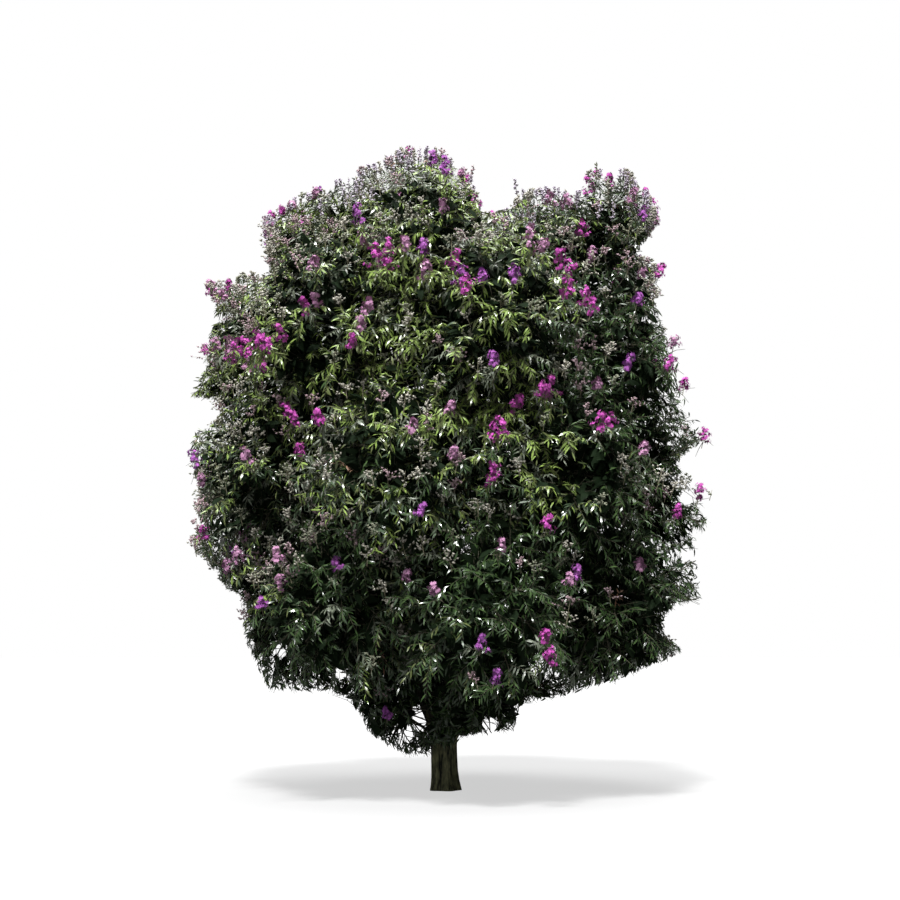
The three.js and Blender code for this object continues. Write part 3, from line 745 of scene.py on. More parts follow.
# how high it reaches, by the distance across from the trunk: two heads with a gap between them
topLine = ((-2.04, 6.7), (-1.34, 7.05), (-0.99, 7.23), (-0.52, 7.44), (-0.1, 7.48), (0.12, 7.28),
           (0.3, 7.08), (0.42, 6.72), (0.62, 6.62), (0.8, 6.78), (0.9, 6.94), (1.35, 6.98), (1.5, 6.9),
           (1.62, 6.95), (1.72, 7.2), (1.82, 7.2), (1.9, 7.08), (2.03, 7.2), (2.18, 7.2), (2.28, 7.0),
           (2.45, 6.9))
crownLimit = dict(lowest=0.4, sideSlack=0.022, topSlack=0.04)
crownBox = np.array([list(cadBox[0]), list(cadBox[1])])
crownBox = crownBox + np.array([[-1.0], [1.0]]) * (crownLimit["sideSlack"] * (crownBox[1] - crownBox[0]))
crownBox[:, 2] = crownLimit["lowest"], cadBox[1][2] + crownLimit["topSlack"]


def pastBox(points):
    return np.any((points < crownBox[0]) | (points > crownBox[1]), axis=1)


def outOfCrown(points, slack=0.0):  # past the profile as it shows from the front, or past the box
    scale = -eye[1] / (points[:, 1] - eye[1])
    across = eye[0] + (points[:, 0] - eye[0]) * scale
    height = eye[2] + (points[:, 2] - eye[2]) * scale
    left = -np.interp(height, *zip(*leftReach)) - slack
    right = np.interp(height, *zip(*rightReach)) + slack
    tooHigh = height > np.interp(across, *zip(*topLine)) + slack
    return (across < left) | (across > right) | tooHigh | pastBox(points)


# gaps in the crown where the sky shows from the front, in pixels: the middle and how far around
skyGaps = ((421, 712, 8), (421, 722, 8), (406, 733, 7), (490, 723, 7), (341, 672, 5), (279, 651, 5),
           (687, 497, 7), (681, 480, 6), (686, 554, 6))


def inSkyGap(points, slack=0.0):
    pixels = toPixels(points)[0]
    clear = np.zeros(len(pixels), bool)
    for x, y, wide in skyGaps:
        clear |= pixelsApart(pixels, x, y) < wide + slack
    return clear


def reachOut(points):  # 1 at the round of the nearest mass, less inside it
    return np.min(np.linalg.norm(points[:, None] - centres[None], axis=2) / radii[None], axis=1)


# Growth: branchlets from each stem, and leaf sprays along them

growth = dict(seed=7, branchlets=30, cap=0.74, roomShare=0.82, rootFrom=0.55, arch=0.1, sag=0.06, steps=5,
              fullness=dict(hem=0.8, skirt=0.95, waist=0.93, shoulder=0.95, crest=1.3, cleft=1.1, top=1.2),
              wallSlack=0.2, neighbourReach=1.3, leastRoom=0.05, shortest=0.15, cutBack=0.85, stemPast=0.15,
              radius=(0.014, 0.006), spraysPerMetre=8, fewestSprays=3, upright=0.9)
sprayMake = dict(first=0.36, last=0.999, length=(0.28, 0.44), crowding=0.75, turn=2.4, turnPlay=0.8,
                 forward=0.7, lift=0.12, opening=0.35, rootOpening=0.55, openingPlay=0.25, arch=0.1, sag=0.14,
                 overreach=1.2, trims=5, trimBy=0.75, shortest=0.11, rootSlack=0.05, radius=(0.005, 0.0018))
# inner sprays with larger leaves fill the heart of the crown; their near-black tone is painted shade
shadeMake = dict(hemFrom=0.5, stemSprays=16, stemLength=(0.34, 0.55), stemScale=2.2, boughFrom=0.22,
                 boughSprays=26, innerSprays=2, innerShares=(0.25, 0.75), innerLength=(0.26, 0.4),
                 innerScale=1.9, inset=0.06, topInset=0.32, furthest=1.02)
dice = np.random.default_rng(growth["seed"])


def roomAlong(number, start, direction):  # how far a mass goes on before its round or a neighbour
    offset = start - centres[number]
    along = offset @ direction
    room = math.sqrt(max(0, along**2 - offset @ offset + radii[number] ** 2)) - along
    for other in range(len(masses)):
        across = centres[other] - centres[number]
        span = np.linalg.norm(across)
        if other == number or span > radii[other] + growth["neighbourReach"] * radii[number]:
            continue
        wall = (span**2 + radii[number] ** 2 - radii[other] ** 2) / (2 * span) + growth["wallSlack"]
        closing = across @ direction / span
        if closing > tiny:
            room = min(room, (wall - across @ offset / span) / closing)
    return max(room, growth["leastRoom"])


def spreadDirection(k, count, phase, facing):  # the k-th of count directions over the side that faces out
    height = 1 - growth["cap"] * (2 * k + 1) / count
    turn = k * goldenAngle + phase
    first = unit(np.cross(facing, up if abs(facing[2]) < growth["upright"] else sideways))
    second = np.cross(facing, first)
    flat = math.sqrt(1 - height * height)
    return first * flat * math.cos(turn) + second * flat * math.sin(turn) + facing * height


def archedPath(start, end, rise, sag):
    middle = 0.5 * (start + end) + up * rise
    share = np.linspace(0, 1, growth["steps"])[:, None]
    return (1 - share) ** 2 * start + 2 * share * (1 - share) * middle + share**2 * (end - up * sag)


def branchletPath(start, direction, length):
    return archedPath(start, start + direction * length, growth["arch"] * length, growth["sag"] * length)


branchletPaths, branchletRadii = [], []
sprays = []  # root, direction, length, mass number, scale of its leaves, free of the masses' round


def addTwig(path, radius):
    branchletPaths.append(path)
    branchletRadii.append(np.linspace(*radius, growth["steps"]))


def growSprays(number, path, shares, count, lengths, leafScale=1.0, free=False):
    steps = len(path) - 1
    low, high = shares
    for k in range(count):
        share = low + (high - low) * ((k + dice.random()) / count) ** sprayMake["crowding"]
        place = min(share, sprayMake["last"]) * steps
        step = int(place)
        root = path[step] + (path[step + 1] - path[step]) * (place - step)
        running = unit(path[step + 1] - path[step])
        side = unit(np.cross(running, up) + tiny)
        square = np.cross(side, running)
        turn = k * sprayMake["turn"] + dice.random() * sprayMake["turnPlay"]
        fan = side * math.cos(turn) + square * math.sin(turn)
        opening = (sprayMake["opening"] + sprayMake["rootOpening"] * (1 - share)
                   + sprayMake["openingPlay"] * dice.random())
        direction = unit(running * sprayMake["forward"] + fan * opening + up * sprayMake["lift"])
        sprays.append((root, direction, dice.uniform(*lengths), number, leafScale, free))


def endSpray(number, path, lengths, free=False):
    sprays.append((path[-1], unit(path[-1] - path[-2]), dice.uniform(*lengths), number, 1.0, free))


for number, mass in enumerate(masses):
    onTrunk = mass["tier"] == "hem"
    stemStart = trunkAxis(habits["hem"]["start"] * trunkPlan["forkHeight"]) if onTrunk else mass["tip"]
    stemEnd = mass["centre"] + mass["direction"] * growth["stemPast"] * mass["radius"]
    stem = np.linspace(stemStart, stemEnd, growth["steps"])
    addTwig(stem, (sidePlan["tipRadius"], growth["radius"][0]))
    phase = 2 * math.pi * dice.random()
    count = round(growth["branchlets"] * growth["fullness"][mass["tier"]])
    for k in range(count):
        direction = spreadDirection(k, count, phase, mass["facing"])
        root = stemStart + (stemEnd - stemStart) * dice.uniform(growth["rootFrom"], 1)
        length = growth["roomShare"] * roomAlong(number, root, direction)
        path = branchletPath(root, direction, length)
        if path[:, 2].min() < crownLimit["lowest"]:
            continue
        while length > growth["shortest"] and outOfCrown(path[-1:])[0]:  # cut back inside the profile
            length *= growth["cutBack"]
            path = branchletPath(root, direction, length)
        addTwig(path, growth["radius"])
        spraysHere = max(growth["fewestSprays"], round(growth["spraysPerMetre"] * length))
        growSprays(number, path, (sprayMake["first"], 1), spraysHere, sprayMake["length"])
        endSpray(number, path, sprayMake["length"])
        growSprays(number, path, shadeMake["innerShares"], shadeMake["innerSprays"], shadeMake["innerLength"],
                   shadeMake["innerScale"])
    shadeFrom = shadeMake["hemFrom"] if onTrunk else 0
    growSprays(number, stem, (shadeFrom, 1), shadeMake["stemSprays"], shadeMake["stemLength"],
               shadeMake["stemScale"])

for bough in boughs:
    shares = np.linspace(shadeMake["boughFrom"], 1, growth["steps"])
    inner = np.array([onBough(bough["handles"], share)[0] for share in shares])
    growSprays(bough["mass"], inner, (0, 1), shadeMake["boughSprays"], shadeMake["stemLength"],
               shadeMake["stemScale"])

# shoots that carry the crown out to its profile on both sides, and long ones that stand out of it on top;
# the ends are pixels of the picture, on an upright plane just in front of the trunk
shootPlan = dict(heights=(1.3, 6.95), step=0.14, inset=0.1, depths=(-0.5, 0.1, 0.6), sprays=10, first=0.5,
                 length=(0.2, 0.32), shadeShares=(0.4, 0.9), shadeSprays=4, sag=-0.1, planeY=-0.2,
                 nearness=0.3,
                 topEnds=((402, 166), (434, 166), (470, 184), (518, 198), (596, 182), (626, 190), (655, 214)),
                 sideEnds=((193, 388), (200, 393), (210, 390), (688, 400), (706, 438), (668, 650), (650, 660),
                           (655, 525), (690, 560), (684, 592), (668, 545), (646, 565), (672, 500), (214, 540),
                           (196, 396), (208, 398), (206, 555), (222, 573), (656, 230), (704, 522)),
                 lowEnds=((278, 684), (292, 688), (306, 686), (322, 682), (540, 690), (556, 686), (578, 680),
                          (600, 676), (625, 668), (372, 736), (390, 742), (412, 746), (508, 729), (478, 726)))
shootPixels = shootPlan["topEnds"] + shootPlan["sideEnds"] + shootPlan["lowEnds"]
shootEnds = [onPlane(pixel, shootPlan["planeY"]) for pixel in shootPixels]
for k, height in enumerate(np.arange(*shootPlan["heights"], shootPlan["step"])):
    for side, reach in ((-1, leftReach), (1, rightReach)):
        across = side * (np.interp(height, *zip(*reach)) - shootPlan["inset"])
        shootEnds.append(np.array((across, shootPlan["depths"][k % len(shootPlan["depths"])], height)))
topTips = []
for k, target in enumerate(shootEnds):
    number = int(np.argmin(np.linalg.norm(centres - target, axis=1) - shootPlan["nearness"] * radii))
    length = np.linalg.norm(target - centres[number])
    while length > growth["shortest"] and outOfCrown(target[None])[0]:
        length *= growth["cutBack"]
        target = centres[number] + unit(target - centres[number]) * length
    path = archedPath(centres[number], target, shootPlan["sag"] * length, 0)
    addTwig(path, growth["radius"])
    growSprays(number, path, shootPlan["shadeShares"], shootPlan["shadeSprays"], shootPlan["length"],
               shadeMake["innerScale"], free=True)
    growSprays(number, path, (shootPlan["first"], 1), shootPlan["sprays"], shootPlan["length"], free=True)
    endSpray(number, path, shootPlan["length"], free=True)
    if k < len(shootPlan["topEnds"]):
        topTips.append((path[-1], unit(path[-1] - path[-2])))


def sprayParts():  # the sprays so far, as an array of each of their values
    return [np.array(part) for part in zip(*sprays)]


# where sky would show through the crown, a shade spray grows from the nearest inner twig into the line of
# sight, and where the crown's face is bare, a leaf spray grows into it from a twig near the viewer
leafLayers = dict(marks=5, firstMark=0.2, leafArea=0.018, shadeArea=0.016)
gapPlans = dict(
    sky=dict(turns=range(0, 360, 45), cell=7.5, least=6.0, faceOnly=False, margin=0.12, inside=0.75,
             deepest=0.75, faceFrom=9.0, nearness=0.0, forward=0.0, reach=0.7, past=0.14, shortest=0.24,
             scale=shadeMake["innerScale"]),
    face=dict(turns=range(0, 360, 90), cell=12.0, least=0.7, faceOnly=True, margin=0.3, inside=0.85,
              deepest=0.95, faceFrom=-0.3, nearness=0.3, forward=0.15, reach=0.45, past=0.05, shortest=0.3,
              scale=1.0))


def turned(points, degrees):  # points turned with the crown, about the upright line at the origin
    turn = math.radians(degrees)
    x, y, z = np.asarray(points).T
    return np.stack((x * math.cos(turn) - y * math.sin(turn), x * math.sin(turn) + y * math.cos(turn), z), 1)


def thinCells(degrees, plan):  # middles of the picture's cells that have too few layers of leaf
    roots, aims, lengths, _, scales, _ = sprayParts()
    shares = np.linspace(leafLayers["firstMark"], 1, leafLayers["marks"])
    marks = turned(np.concatenate([roots + aims * (lengths * share)[:, None] for share in shares]), degrees)
    area = np.where(scales > 1, leafLayers["shadeArea"] * scales**2, leafLayers["leafArea"]) / len(shares)
    area = np.tile(area, len(shares))
    if plan["faceOnly"]:
        area *= np.tile(scales == 1, len(shares)) & (marks[:, 1] < plan["faceFrom"])
    edges = np.arange(0, viewpoint["imagePixels"] + 1, plan["cell"])
    layers = np.histogram2d(*toPixels(marks)[0].T, bins=(edges, edges), weights=area)[0]
    layers /= (plan["cell"] * viewpoint["metresPerPixel"]) ** 2
    return edges[np.argwhere(layers < plan["least"])] + 0.5 * plan["cell"]


def gapRays(degrees, plan):  # lines of sight through thin cells that lie well inside the crown
    points = np.array([onPlane(pixel, 0.0) for pixel in thinCells(degrees, plan)])
    rays = unit(points - eye)
    toMasses = turned(centres, degrees) - eye
    aside = np.sqrt(np.sum(toMasses**2, axis=1) - (rays @ toMasses.T) ** 2)
    inside = np.any(aside < plan["inside"] * radii, axis=1)
    if degrees == 0:
        inside &= ~outOfCrown(points, -plan["margin"]) & ~inSkyGap(points, plan["cell"])
    return rays[inside]


def fillGaps(degrees, plan):
    twigPoints = np.concatenate(branchletPaths)
    usable = (reachOut(twigPoints) < plan["deepest"]) & (turned(twigPoints, degrees)[:, 1] < plan["faceFrom"])
    twigPoints = twigPoints[usable]
    offsets = turned(twigPoints, degrees) - eye
    for ray in gapRays(degrees, plan):
        along = offsets @ ray
        aside = np.linalg.norm(offsets - along[:, None] * ray, axis=1)
        nearest = int(np.argmin(np.where(aside < plan["reach"], aside + plan["nearness"] * along, np.inf)))
        if aside[nearest] > plan["reach"]:
            continue
        root = twigPoints[nearest]
        target = turned((eye + ray * (along[nearest] - plan["forward"]))[None], -degrees)[0]
        number = int(np.argmin(np.linalg.norm(centres - root, axis=1) / radii))
        length = max(np.linalg.norm(target - root) + plan["past"], plan["shortest"])
        sprays.append((root, unit(target - root), length, number, plan["scale"], True))


for kind, plan in gapPlans.items():
    for degrees in plan["turns"]:
        spraysBefore = len(sprays)
        fillGaps(degrees, plan)
        print("tree: gaps of", kind, "at", degrees, "degrees took", len(sprays) - spraysBefore, "sprays")

# a spray that would leave the crown is shortened, and dropped if too little is left
sprayRoots, sprayAims, sprayLengths, sprayMass, sprayScale, sprayFree = sprayParts()
for _ in range(sprayMake["trims"]):
    tips = sprayRoots + sprayAims * sprayLengths[:, None]
    outside = outOfCrown(tips) | (~sprayFree & (reachOut(tips) > sprayMake["overreach"]))
    sprayLengths[outside] *= sprayMake["trimBy"]
keep = (sprayLengths > sprayMake["shortest"]) & ~outOfCrown(sprayRoots, sprayMake["rootSlack"])
tips = sprayRoots + sprayAims * sprayLengths[:, None]
nearEdge = outOfCrown(tips, -shadeMake["inset"]) | outOfCrown(tips + up * shadeMake["topInset"])
keep &= (sprayScale == 1) | ~(nearEdge | (reachOut(tips) > shadeMake["furthest"]))
keep &= ~(inSkyGap(tips) | inSkyGap(0.5 * (sprayRoots + tips)))
kept = [part[keep] for part in (sprayRoots, sprayAims, sprayLengths, sprayMass, sprayScale)]
keptAims, keptMass = sprayAims[keep], sprayMass[keep]
keptTips = tips[keep]
keptPixels = toPixels(keptTips)[0]


# Blossoms that show from the front: leafed twigs carry them out to the crown's face

frontBlossoms = (  # where the full blossoms show in the picture, how tall they are in metres, and their tone
    (551, 392, 0.34, magenta), (545, 394, 0.28, magenta), (556, 262, 0.28, magenta),
    (565, 275, 0.30, magenta), (563, 292, 0.30, magenta), (581, 299, 0.26, magenta),
    (589, 310, 0.24, magenta), (530, 240, 0.30, pale), (541, 250, 0.24, pale), (513, 276, 0.20, purple),
    (483, 278, 0.18, purple), (582, 230, 0.24, magenta), (554, 200, 0.24, pale), (567, 206, 0.26, pale),
    (642, 215, 0.20, purple), (631, 198, 0.26, pale), (380, 260, 0.34, magenta),
    (392, 255, 0.32, magenta), (387, 266, 0.26, magenta), (462, 278, 0.22, purple),
    (404, 247, 0.22, pale), (425, 250, 0.22, purple), (428, 272, 0.24, pale), (454, 266, 0.30, magenta),
    (469, 288, 0.26, magenta), (445, 170, 0.26, purple), (434, 160, 0.16, purple),
    (364, 217, 0.30, purple), (442, 208, 0.18, pale), (315, 266, 0.18, pale), (303, 308, 0.24, magenta),
    (316, 303, 0.22, pale), (283, 337, 0.30, magenta), (268, 347, 0.26, magenta),
    (252, 350, 0.30, magenta), (262, 343, 0.26, magenta), (242, 352, 0.26, magenta),
    (233, 359, 0.18, magenta), (265, 366, 0.18, magenta), (232, 347, 0.22, pale), (217, 346, 0.20, pale),
    (360, 326, 0.18, pale), (352, 343, 0.18, magenta), (291, 413, 0.26, magenta),
    (298, 421, 0.20, magenta), (322, 420, 0.22, magenta), (302, 452, 0.18, magenta),
    (247, 458, 0.24, pale), (197, 460, 0.24, purple), (206, 535, 0.22, magenta), (240, 558, 0.22, pale),
    (227, 568, 0.20, pale), (263, 606, 0.18, purple), (338, 565, 0.16, purple), (409, 578, 0.16, pale),
    (418, 512, 0.18, purple), (436, 592, 0.16, pale), (512, 406, 0.28, magenta),
    (503, 428, 0.26, magenta), (493, 435, 0.22, magenta), (497, 472, 0.20, magenta),
    (489, 482, 0.18, magenta), (495, 361, 0.18, purple), (450, 410, 0.16, pale),
    (597, 424, 0.24, magenta), (608, 423, 0.20, magenta), (625, 364, 0.24, purple),
    (597, 386, 0.18, pale), (545, 525, 0.20, magenta), (500, 549, 0.18, pale), (575, 576, 0.22, purple),
    (568, 582, 0.18, pale), (480, 645, 0.20, purple), (545, 640, 0.22, magenta),
    (549, 657, 0.20, magenta), (493, 679, 0.20, purple), (387, 714, 0.16, purple),
    (668, 366, 0.22, magenta), (683, 385, 0.18, magenta), (672, 345, 0.20, pale),
    (702, 437, 0.22, magenta), (697, 494, 0.24, magenta), (674, 514, 0.18, magenta),
    (657, 272, 0.22, magenta), (636, 301, 0.16, purple), (640, 566, 0.16, pale), (640, 450, 0.18, pale))
blossomTwig = dict(nearestTips=45, around=14, ahead=0.08, room=0.18, heightShare=0.94, radius=(0.004, 0.003),
                   rise=0.06, lean=0.35, sprays=3, sprayShares=(0.2, 0.7), sprayLength=(0.14, 0.22))
panicleSpread = dict(blossom=0.46, bud=0.85, fringe=0.2)
panicles = []  # root, axis, height, tone, in bloom, spread
sprays.clear()  # those of the blossoms' own twigs follow


def frontBlossom(x, y, height, tone):
    height *= blossomTwig["heightShare"]
    apart = pixelsApart(keptPixels, x, y)
    nearest = np.argsort(apart)[: blossomTwig["nearestTips"]]
    nearest = nearest[apart[nearest] <= max(blossomTwig["around"], apart[nearest[0]])]
    faceY = max(keptTips[nearest, 1].min() - blossomTwig["ahead"], crownBox[0, 1] + blossomTwig["room"])
    root = onPlane((x, y + 0.5 * height / viewpoint["metresPerPixel"]), faceY)
    carrier = np.argmin(np.linalg.norm(keptTips - root, axis=1))
    length = np.linalg.norm(root - keptTips[carrier])
    path = archedPath(keptTips[carrier], root, blossomTwig["rise"] * length, 0)
    addTwig(path, blossomTwig["radius"])
    growSprays(keptMass[carrier], path, blossomTwig["sprayShares"], blossomTwig["sprays"],
               blossomTwig["sprayLength"], free=True)
    aim = blend(up, 1, keptAims[carrier], blossomTwig["lean"])
    panicles.append((root, aim, height, tone, True, panicleSpread["blossom"]))


for blossom in frontBlossoms:
    frontBlossom(*blossom)
allSprays = [np.concatenate(pair) for pair in zip(kept, sprayParts())]
sprayRoots, sprayAims, sprayLengths, sprayMass, sprayScale = allSprays
sprayCount = len(sprayRoots)
print("tree:", len(branchletPaths), "branchlets and", sprayCount, "sprays")

# each outer spray arches up and then droops, and a shade spray is straight
outerSpray = sprayScale == 1
bend = up * outerSpray[:, None]
sprayMiddles = sprayRoots + (0.5 * sprayAims + bend * sprayMake["arch"]) * sprayLengths[:, None]
sprayEnds = sprayRoots + (sprayAims - bend * sprayMake["sag"]) * sprayLengths[:, None]


def onSprays(share):  # points and headings of all sprays at one share of their length
    points = (1 - share) ** 2 * sprayRoots + 2 * share * (1 - share) * sprayMiddles + share**2 * sprayEnds
    headings = unit((1 - share) * (sprayMiddles - sprayRoots) + share * (sprayEnds - sprayMiddles))
    return points, headings


# tones are dealt out by spray as painted light and shade: by how far out it is, how high, how it faces the
# light and where a patch shows, with clumps and chance besides
toneMake = dict(steps=(0.02, 0.24, 0.4, 0.63),  # from the most shaded green to mid, blue, olive and the most lit fresh green
                lit=0.55, upper=0.24, clump=0.4, out=0.35, outFrom=0.9, chance=0.7,
                lightFrom=(-0.5, -0.6, 0.6), middle=3.6, span=3.0,
                clumpTurns=((2.1, 1.3), (1.9, 1.57), (1.7, 0.4)),
                sheenHeight=7.0, sheenPlay=0.5, sheenBright=0.3, sheenChance=0.87, bronzeShare=0.004,
                heartShare=0.55, heartHeight=1.4, patchDepth=17.2,
                # patches of painted light and shade, in pixels of the picture: the middle, how far around,
                # how much lighter or darker
                litAndShadedPatches=((385, 300, 70, 0.35), (510, 285, 60, 0.4), (390, 385, 60, 0.5),
                         (605, 365, 50, -0.8), (645, 340, 55, -1.0), (655, 400, 50, -1.0),
                         (560, 480, 50, 0.5), (420, 480, 70, 0.2), (510, 395, 45, 0.7),
                         (500, 580, 70, -0.9), (255, 370, 60, 0.3), (330, 560, 40, -0.35),
                         (280, 660, 45, -0.8), (620, 285, 40, -0.4), (368, 358, 24, 0.9),
                         (395, 352, 14, 0.9), (440, 424, 26, 0.9), (462, 414, 16, 0.9),
                         (250, 612, 16, 0.7)))
tipPixels, tipDepths = toPixels(sprayEnds)
sprayOut = reachOut(sprayEnds)
# the middle of the crown at about each spray's level
heartPoints = sprayEnds * (up * toneMake["heartShare"]) + up * toneMake["heartHeight"]
sprayFacing = unit(sprayEnds - heartPoints)


def dealTones():
    draw = dice.random(sprayCount)
    clumps = np.ones(sprayCount)
    for across, (often, shift) in zip(sprayEnds.T, toneMake["clumpTurns"]):
        clumps *= np.sin(often * across + shift)
    # higher and further-out sprays are dealt lighter tones, lower and deeper ones darker: painted light from
    # above and painted shade within the crown
    upper = np.clip((sprayEnds[:, 2] - toneMake["middle"]) / toneMake["span"], -1, 1)
    bright = (toneMake["lit"] * sprayFacing @ unit(toneMake["lightFrom"]) + toneMake["upper"] * upper
              + toneMake["clump"] * clumps + toneMake["out"] * (sprayOut - toneMake["outFrom"])
              + toneMake["chance"] * (draw - 0.5))
    # the listed patches lift or sink the tone: painted light and painted shade
    for x, y, patch, shift in toneMake["litAndShadedPatches"]:
        near = pixelsApart(tipPixels, x, y) < patch
        bright[near & (tipDepths < toneMake["patchDepth"])] += shift
    tones = np.searchsorted(toneMake["steps"], bright)
    # a pale grey-green goes to sprays at the top and to some of the brightest: a painted sheen of the sky
    grey = sprayEnds[:, 2] + toneMake["sheenPlay"] * draw > toneMake["sheenHeight"]
    grey |= (bright > toneMake["sheenBright"]) & (draw > toneMake["sheenChance"])
    tones[grey] = leafNames.index("greyGreen")
    tones[dice.random(sprayCount) < toneMake["bronzeShare"]] = leafNames.index("bronzeLeaf")
    # shade sprays take the near-black inner tone: painted shade in the crown's heart
    tones[~outerSpray] = leafNames.index("innerShade")
    return tones


sprayTones = dealTones()

# leaves stand in two ranks along a spray, hang a little, and turn their upper sides up and out to the light
leafGrowth = dict(perSpray=18, length=(0.064, 0.122), first=0.1, span=0.88, forward=(0.5, 0.85), aside=0.85,
                  droop=(0.25, 0.75), endDroop=0.6, play=0.4, faceUp=0.7, faceOut=0.85, faceAside=0.35,
                  facePlay=0.5, middleSize=1.08, endLoss=0.35, fullLength=0.3, fewest=0.45, slack=0.03,
                  darkerShare=0.36, lighterShare=0.36, shadeEvery=3, gapSlack=1.5)
leafSets = []
greens = len(toneMake["steps"]) + 1
lean = unit(up * leafGrowth["faceUp"] + sprayFacing * leafGrowth["faceOut"])
filled = np.clip(sprayLengths / leafGrowth["fullLength"], leafGrowth["fewest"], 1)
for k in range(leafGrowth["perSpray"]):
    endLeaf = k == leafGrowth["perSpray"] - 1
    share = 1 if endLeaf else leafGrowth["first"] + leafGrowth["span"] * k / leafGrowth["perSpray"]
    rank = 0 if endLeaf else (-1) ** k
    points, headings = onSprays(share)
    side = unit(np.cross(headings, lean) + tiny)
    droop = dice.uniform(*leafGrowth["droop"], sprayCount) * (leafGrowth["endDroop"] if endLeaf else 1)
    along = unit(headings * dice.uniform(*leafGrowth["forward"], sprayCount)[:, None]
                 + side * (rank * leafGrowth["aside"]) - up * droop[:, None]
                 + leafGrowth["play"] * dice.normal(size=(sprayCount, 3)))
    face = unit(lean + side * (rank * leafGrowth["faceAside"])
                + leafGrowth["facePlay"] * dice.normal(size=(sprayCount, 3)))
    sizes = sprayScale * dice.uniform(*leafGrowth["length"], sprayCount)
    sizes *= leafGrowth["middleSize"] - leafGrowth["endLoss"] * abs(share - 0.5)
    reach = along * sizes[:, None]
    fits = dice.random(sprayCount) < filled  # a short spray has fewer leaves, and so has a shade spray
    fits &= outerSpray | (k % leafGrowth["shadeEvery"] == 0)
    fits &= ~outOfCrown(points + reach, leafGrowth["slack"])
    fits &= ~inSkyGap(points + 0.5 * reach, leafGrowth["gapSlack"] * sprayScale)
    chance = dice.random(sprayCount)  # some leaves are a tone darker or lighter than their spray
    step = (chance > 1 - leafGrowth["lighterShare"]).astype(int) - (chance < leafGrowth["darkerShare"])
    tones = np.where(sprayTones < greens, np.clip(sprayTones + step, 0, greens - 1), sprayTones)
    leafSets.append([part[fits] for part in (points, along, face, sizes, tones, sprayMass)])
leaves = [np.concatenate(part) for part in zip(*leafSets)]
leafRoots, leafAlong, leafFace, leafSizes, leafTone, leafMass = leaves
print("tree:", len(leafRoots), "leaves")

leafPieces = dict(hemLeaves=("hem",), skirtLeaves=("skirt",), waistLeaves=("waist",),
                  shoulderLeaves=("shoulder",), crestLeaves=("crest", "cleft", "top"))
tierOfMass = np.array([mass["tier"] for mass in masses])
inShade = leafTone == leafNames.index("innerShade")
for name, tierNames in leafPieces.items():
    ofPiece = np.isin(tierOfMass[leafMass], tierNames)
    pointSets, faceSets, toneSets = [], [], []
    for pattern, chosen in ((leafPattern, ofPiece & ~inShade), (shadePattern, ofPiece & inShade)):
        rows = [part[chosen] for part in (leafRoots, leafAlong, leafFace, leafSizes)]
        points, faces = stamp(pattern, *rows)
        faceSets.append(faces + sum(len(earlier) for earlier in pointSets))
        pointSets.append(points)
        toneSets.append(np.repeat(leafTone[chosen], len(pattern[1])))
    points, faces, tones = [np.concatenate(sets) for sets in (pointSets, faceSets, toneSets)]
    piece = meshPiece(name, points, faces, tones, leafLooks)
    seat(piece, "leaf", *[mass["node"] for mass in masses if mass["tier"] in tierNames])


# Blossom and bud panicles at the ends of sprays

flowerHead = dict(branches=8, each=9, size=(0.018, 0.026), start=0.4, play=0.022)
budHead = dict(branches=6, each=4, size=(0.011, 0.017), start=0.35, play=0.018)
panicleMake = dict(footing=0.03, lowestBranch=0.1, branchSpan=0.82, topShare=1.05, spreadPlay=(0.5, 1.2),
                   turnPlay=0.9, branchLift=(0.1, 1.1), faceLift=0.5, facePlay=0.45, lean=0.35, slack=0.06,
                   shortest=0.1, cutBack=0.85, across=(1.0, 0.3, 0), stalkRadius=(0.005, 0.0018),
                   sideRadius=(0.002, 0.0014))
panicleCount = dict(wild=75, pale=15, fringe=260, buds=1000)
budPlaces = (  # where buds show thickest in the picture, and how far around, in pixels
    (250, 310, 55), (235, 400, 45), (300, 500, 60), (420, 470, 60), (330, 235, 45), (560, 215, 40),
    (620, 225, 45), (260, 560, 40), (470, 230, 35), (650, 480, 40), (400, 520, 60))
budFree = (  # where hardly any show
    (690, 570, 70), (695, 430, 60), (690, 340, 50), (280, 670, 60), (203, 330, 28), (195, 390, 28),
    (192, 450, 28))
taken = np.zeros(sprayCount, bool)


def addPanicle(number, heights, tone, blooming, spread):
    height = dice.uniform(*heights)
    root = sprayEnds[number]
    aim = blend(up, 1, sprayAims[number], panicleMake["lean"])
    slack = panicleMake["slack"]
    while height > panicleMake["shortest"] and outOfCrown((root + aim * height)[None], slack)[0]:
        height *= panicleMake["cutBack"]
    panicles.append((root, aim, height, tone, blooming, panicleSpread[spread]))
    taken[number] = True


# the other panicles: more of them high up, and where buds show thickest from the front
panicleChoice = dict(leastOut=0.86, lowest=1.0, leastLift=-0.35, base=0.2, upper=1.2, upperFrom=1.5,
                     upperSpan=5.0, thick=2.5, thin=0.02, thickDepth=17.5, clear=15, clearBelow=5,
                     frontY=-0.6, fringeHeight=6.2, lilacShare=0.75, tipHeight=0.24, wildHeight=(0.24, 0.38),
                     paleHeight=(0.16, 0.26), fringeTall=(0.2, 0.34), budHeight=(0.12, 0.2),
                     wildTones=(0.55, 0.2, 0.25), budTones=(0.5, 0.25, 0.25))


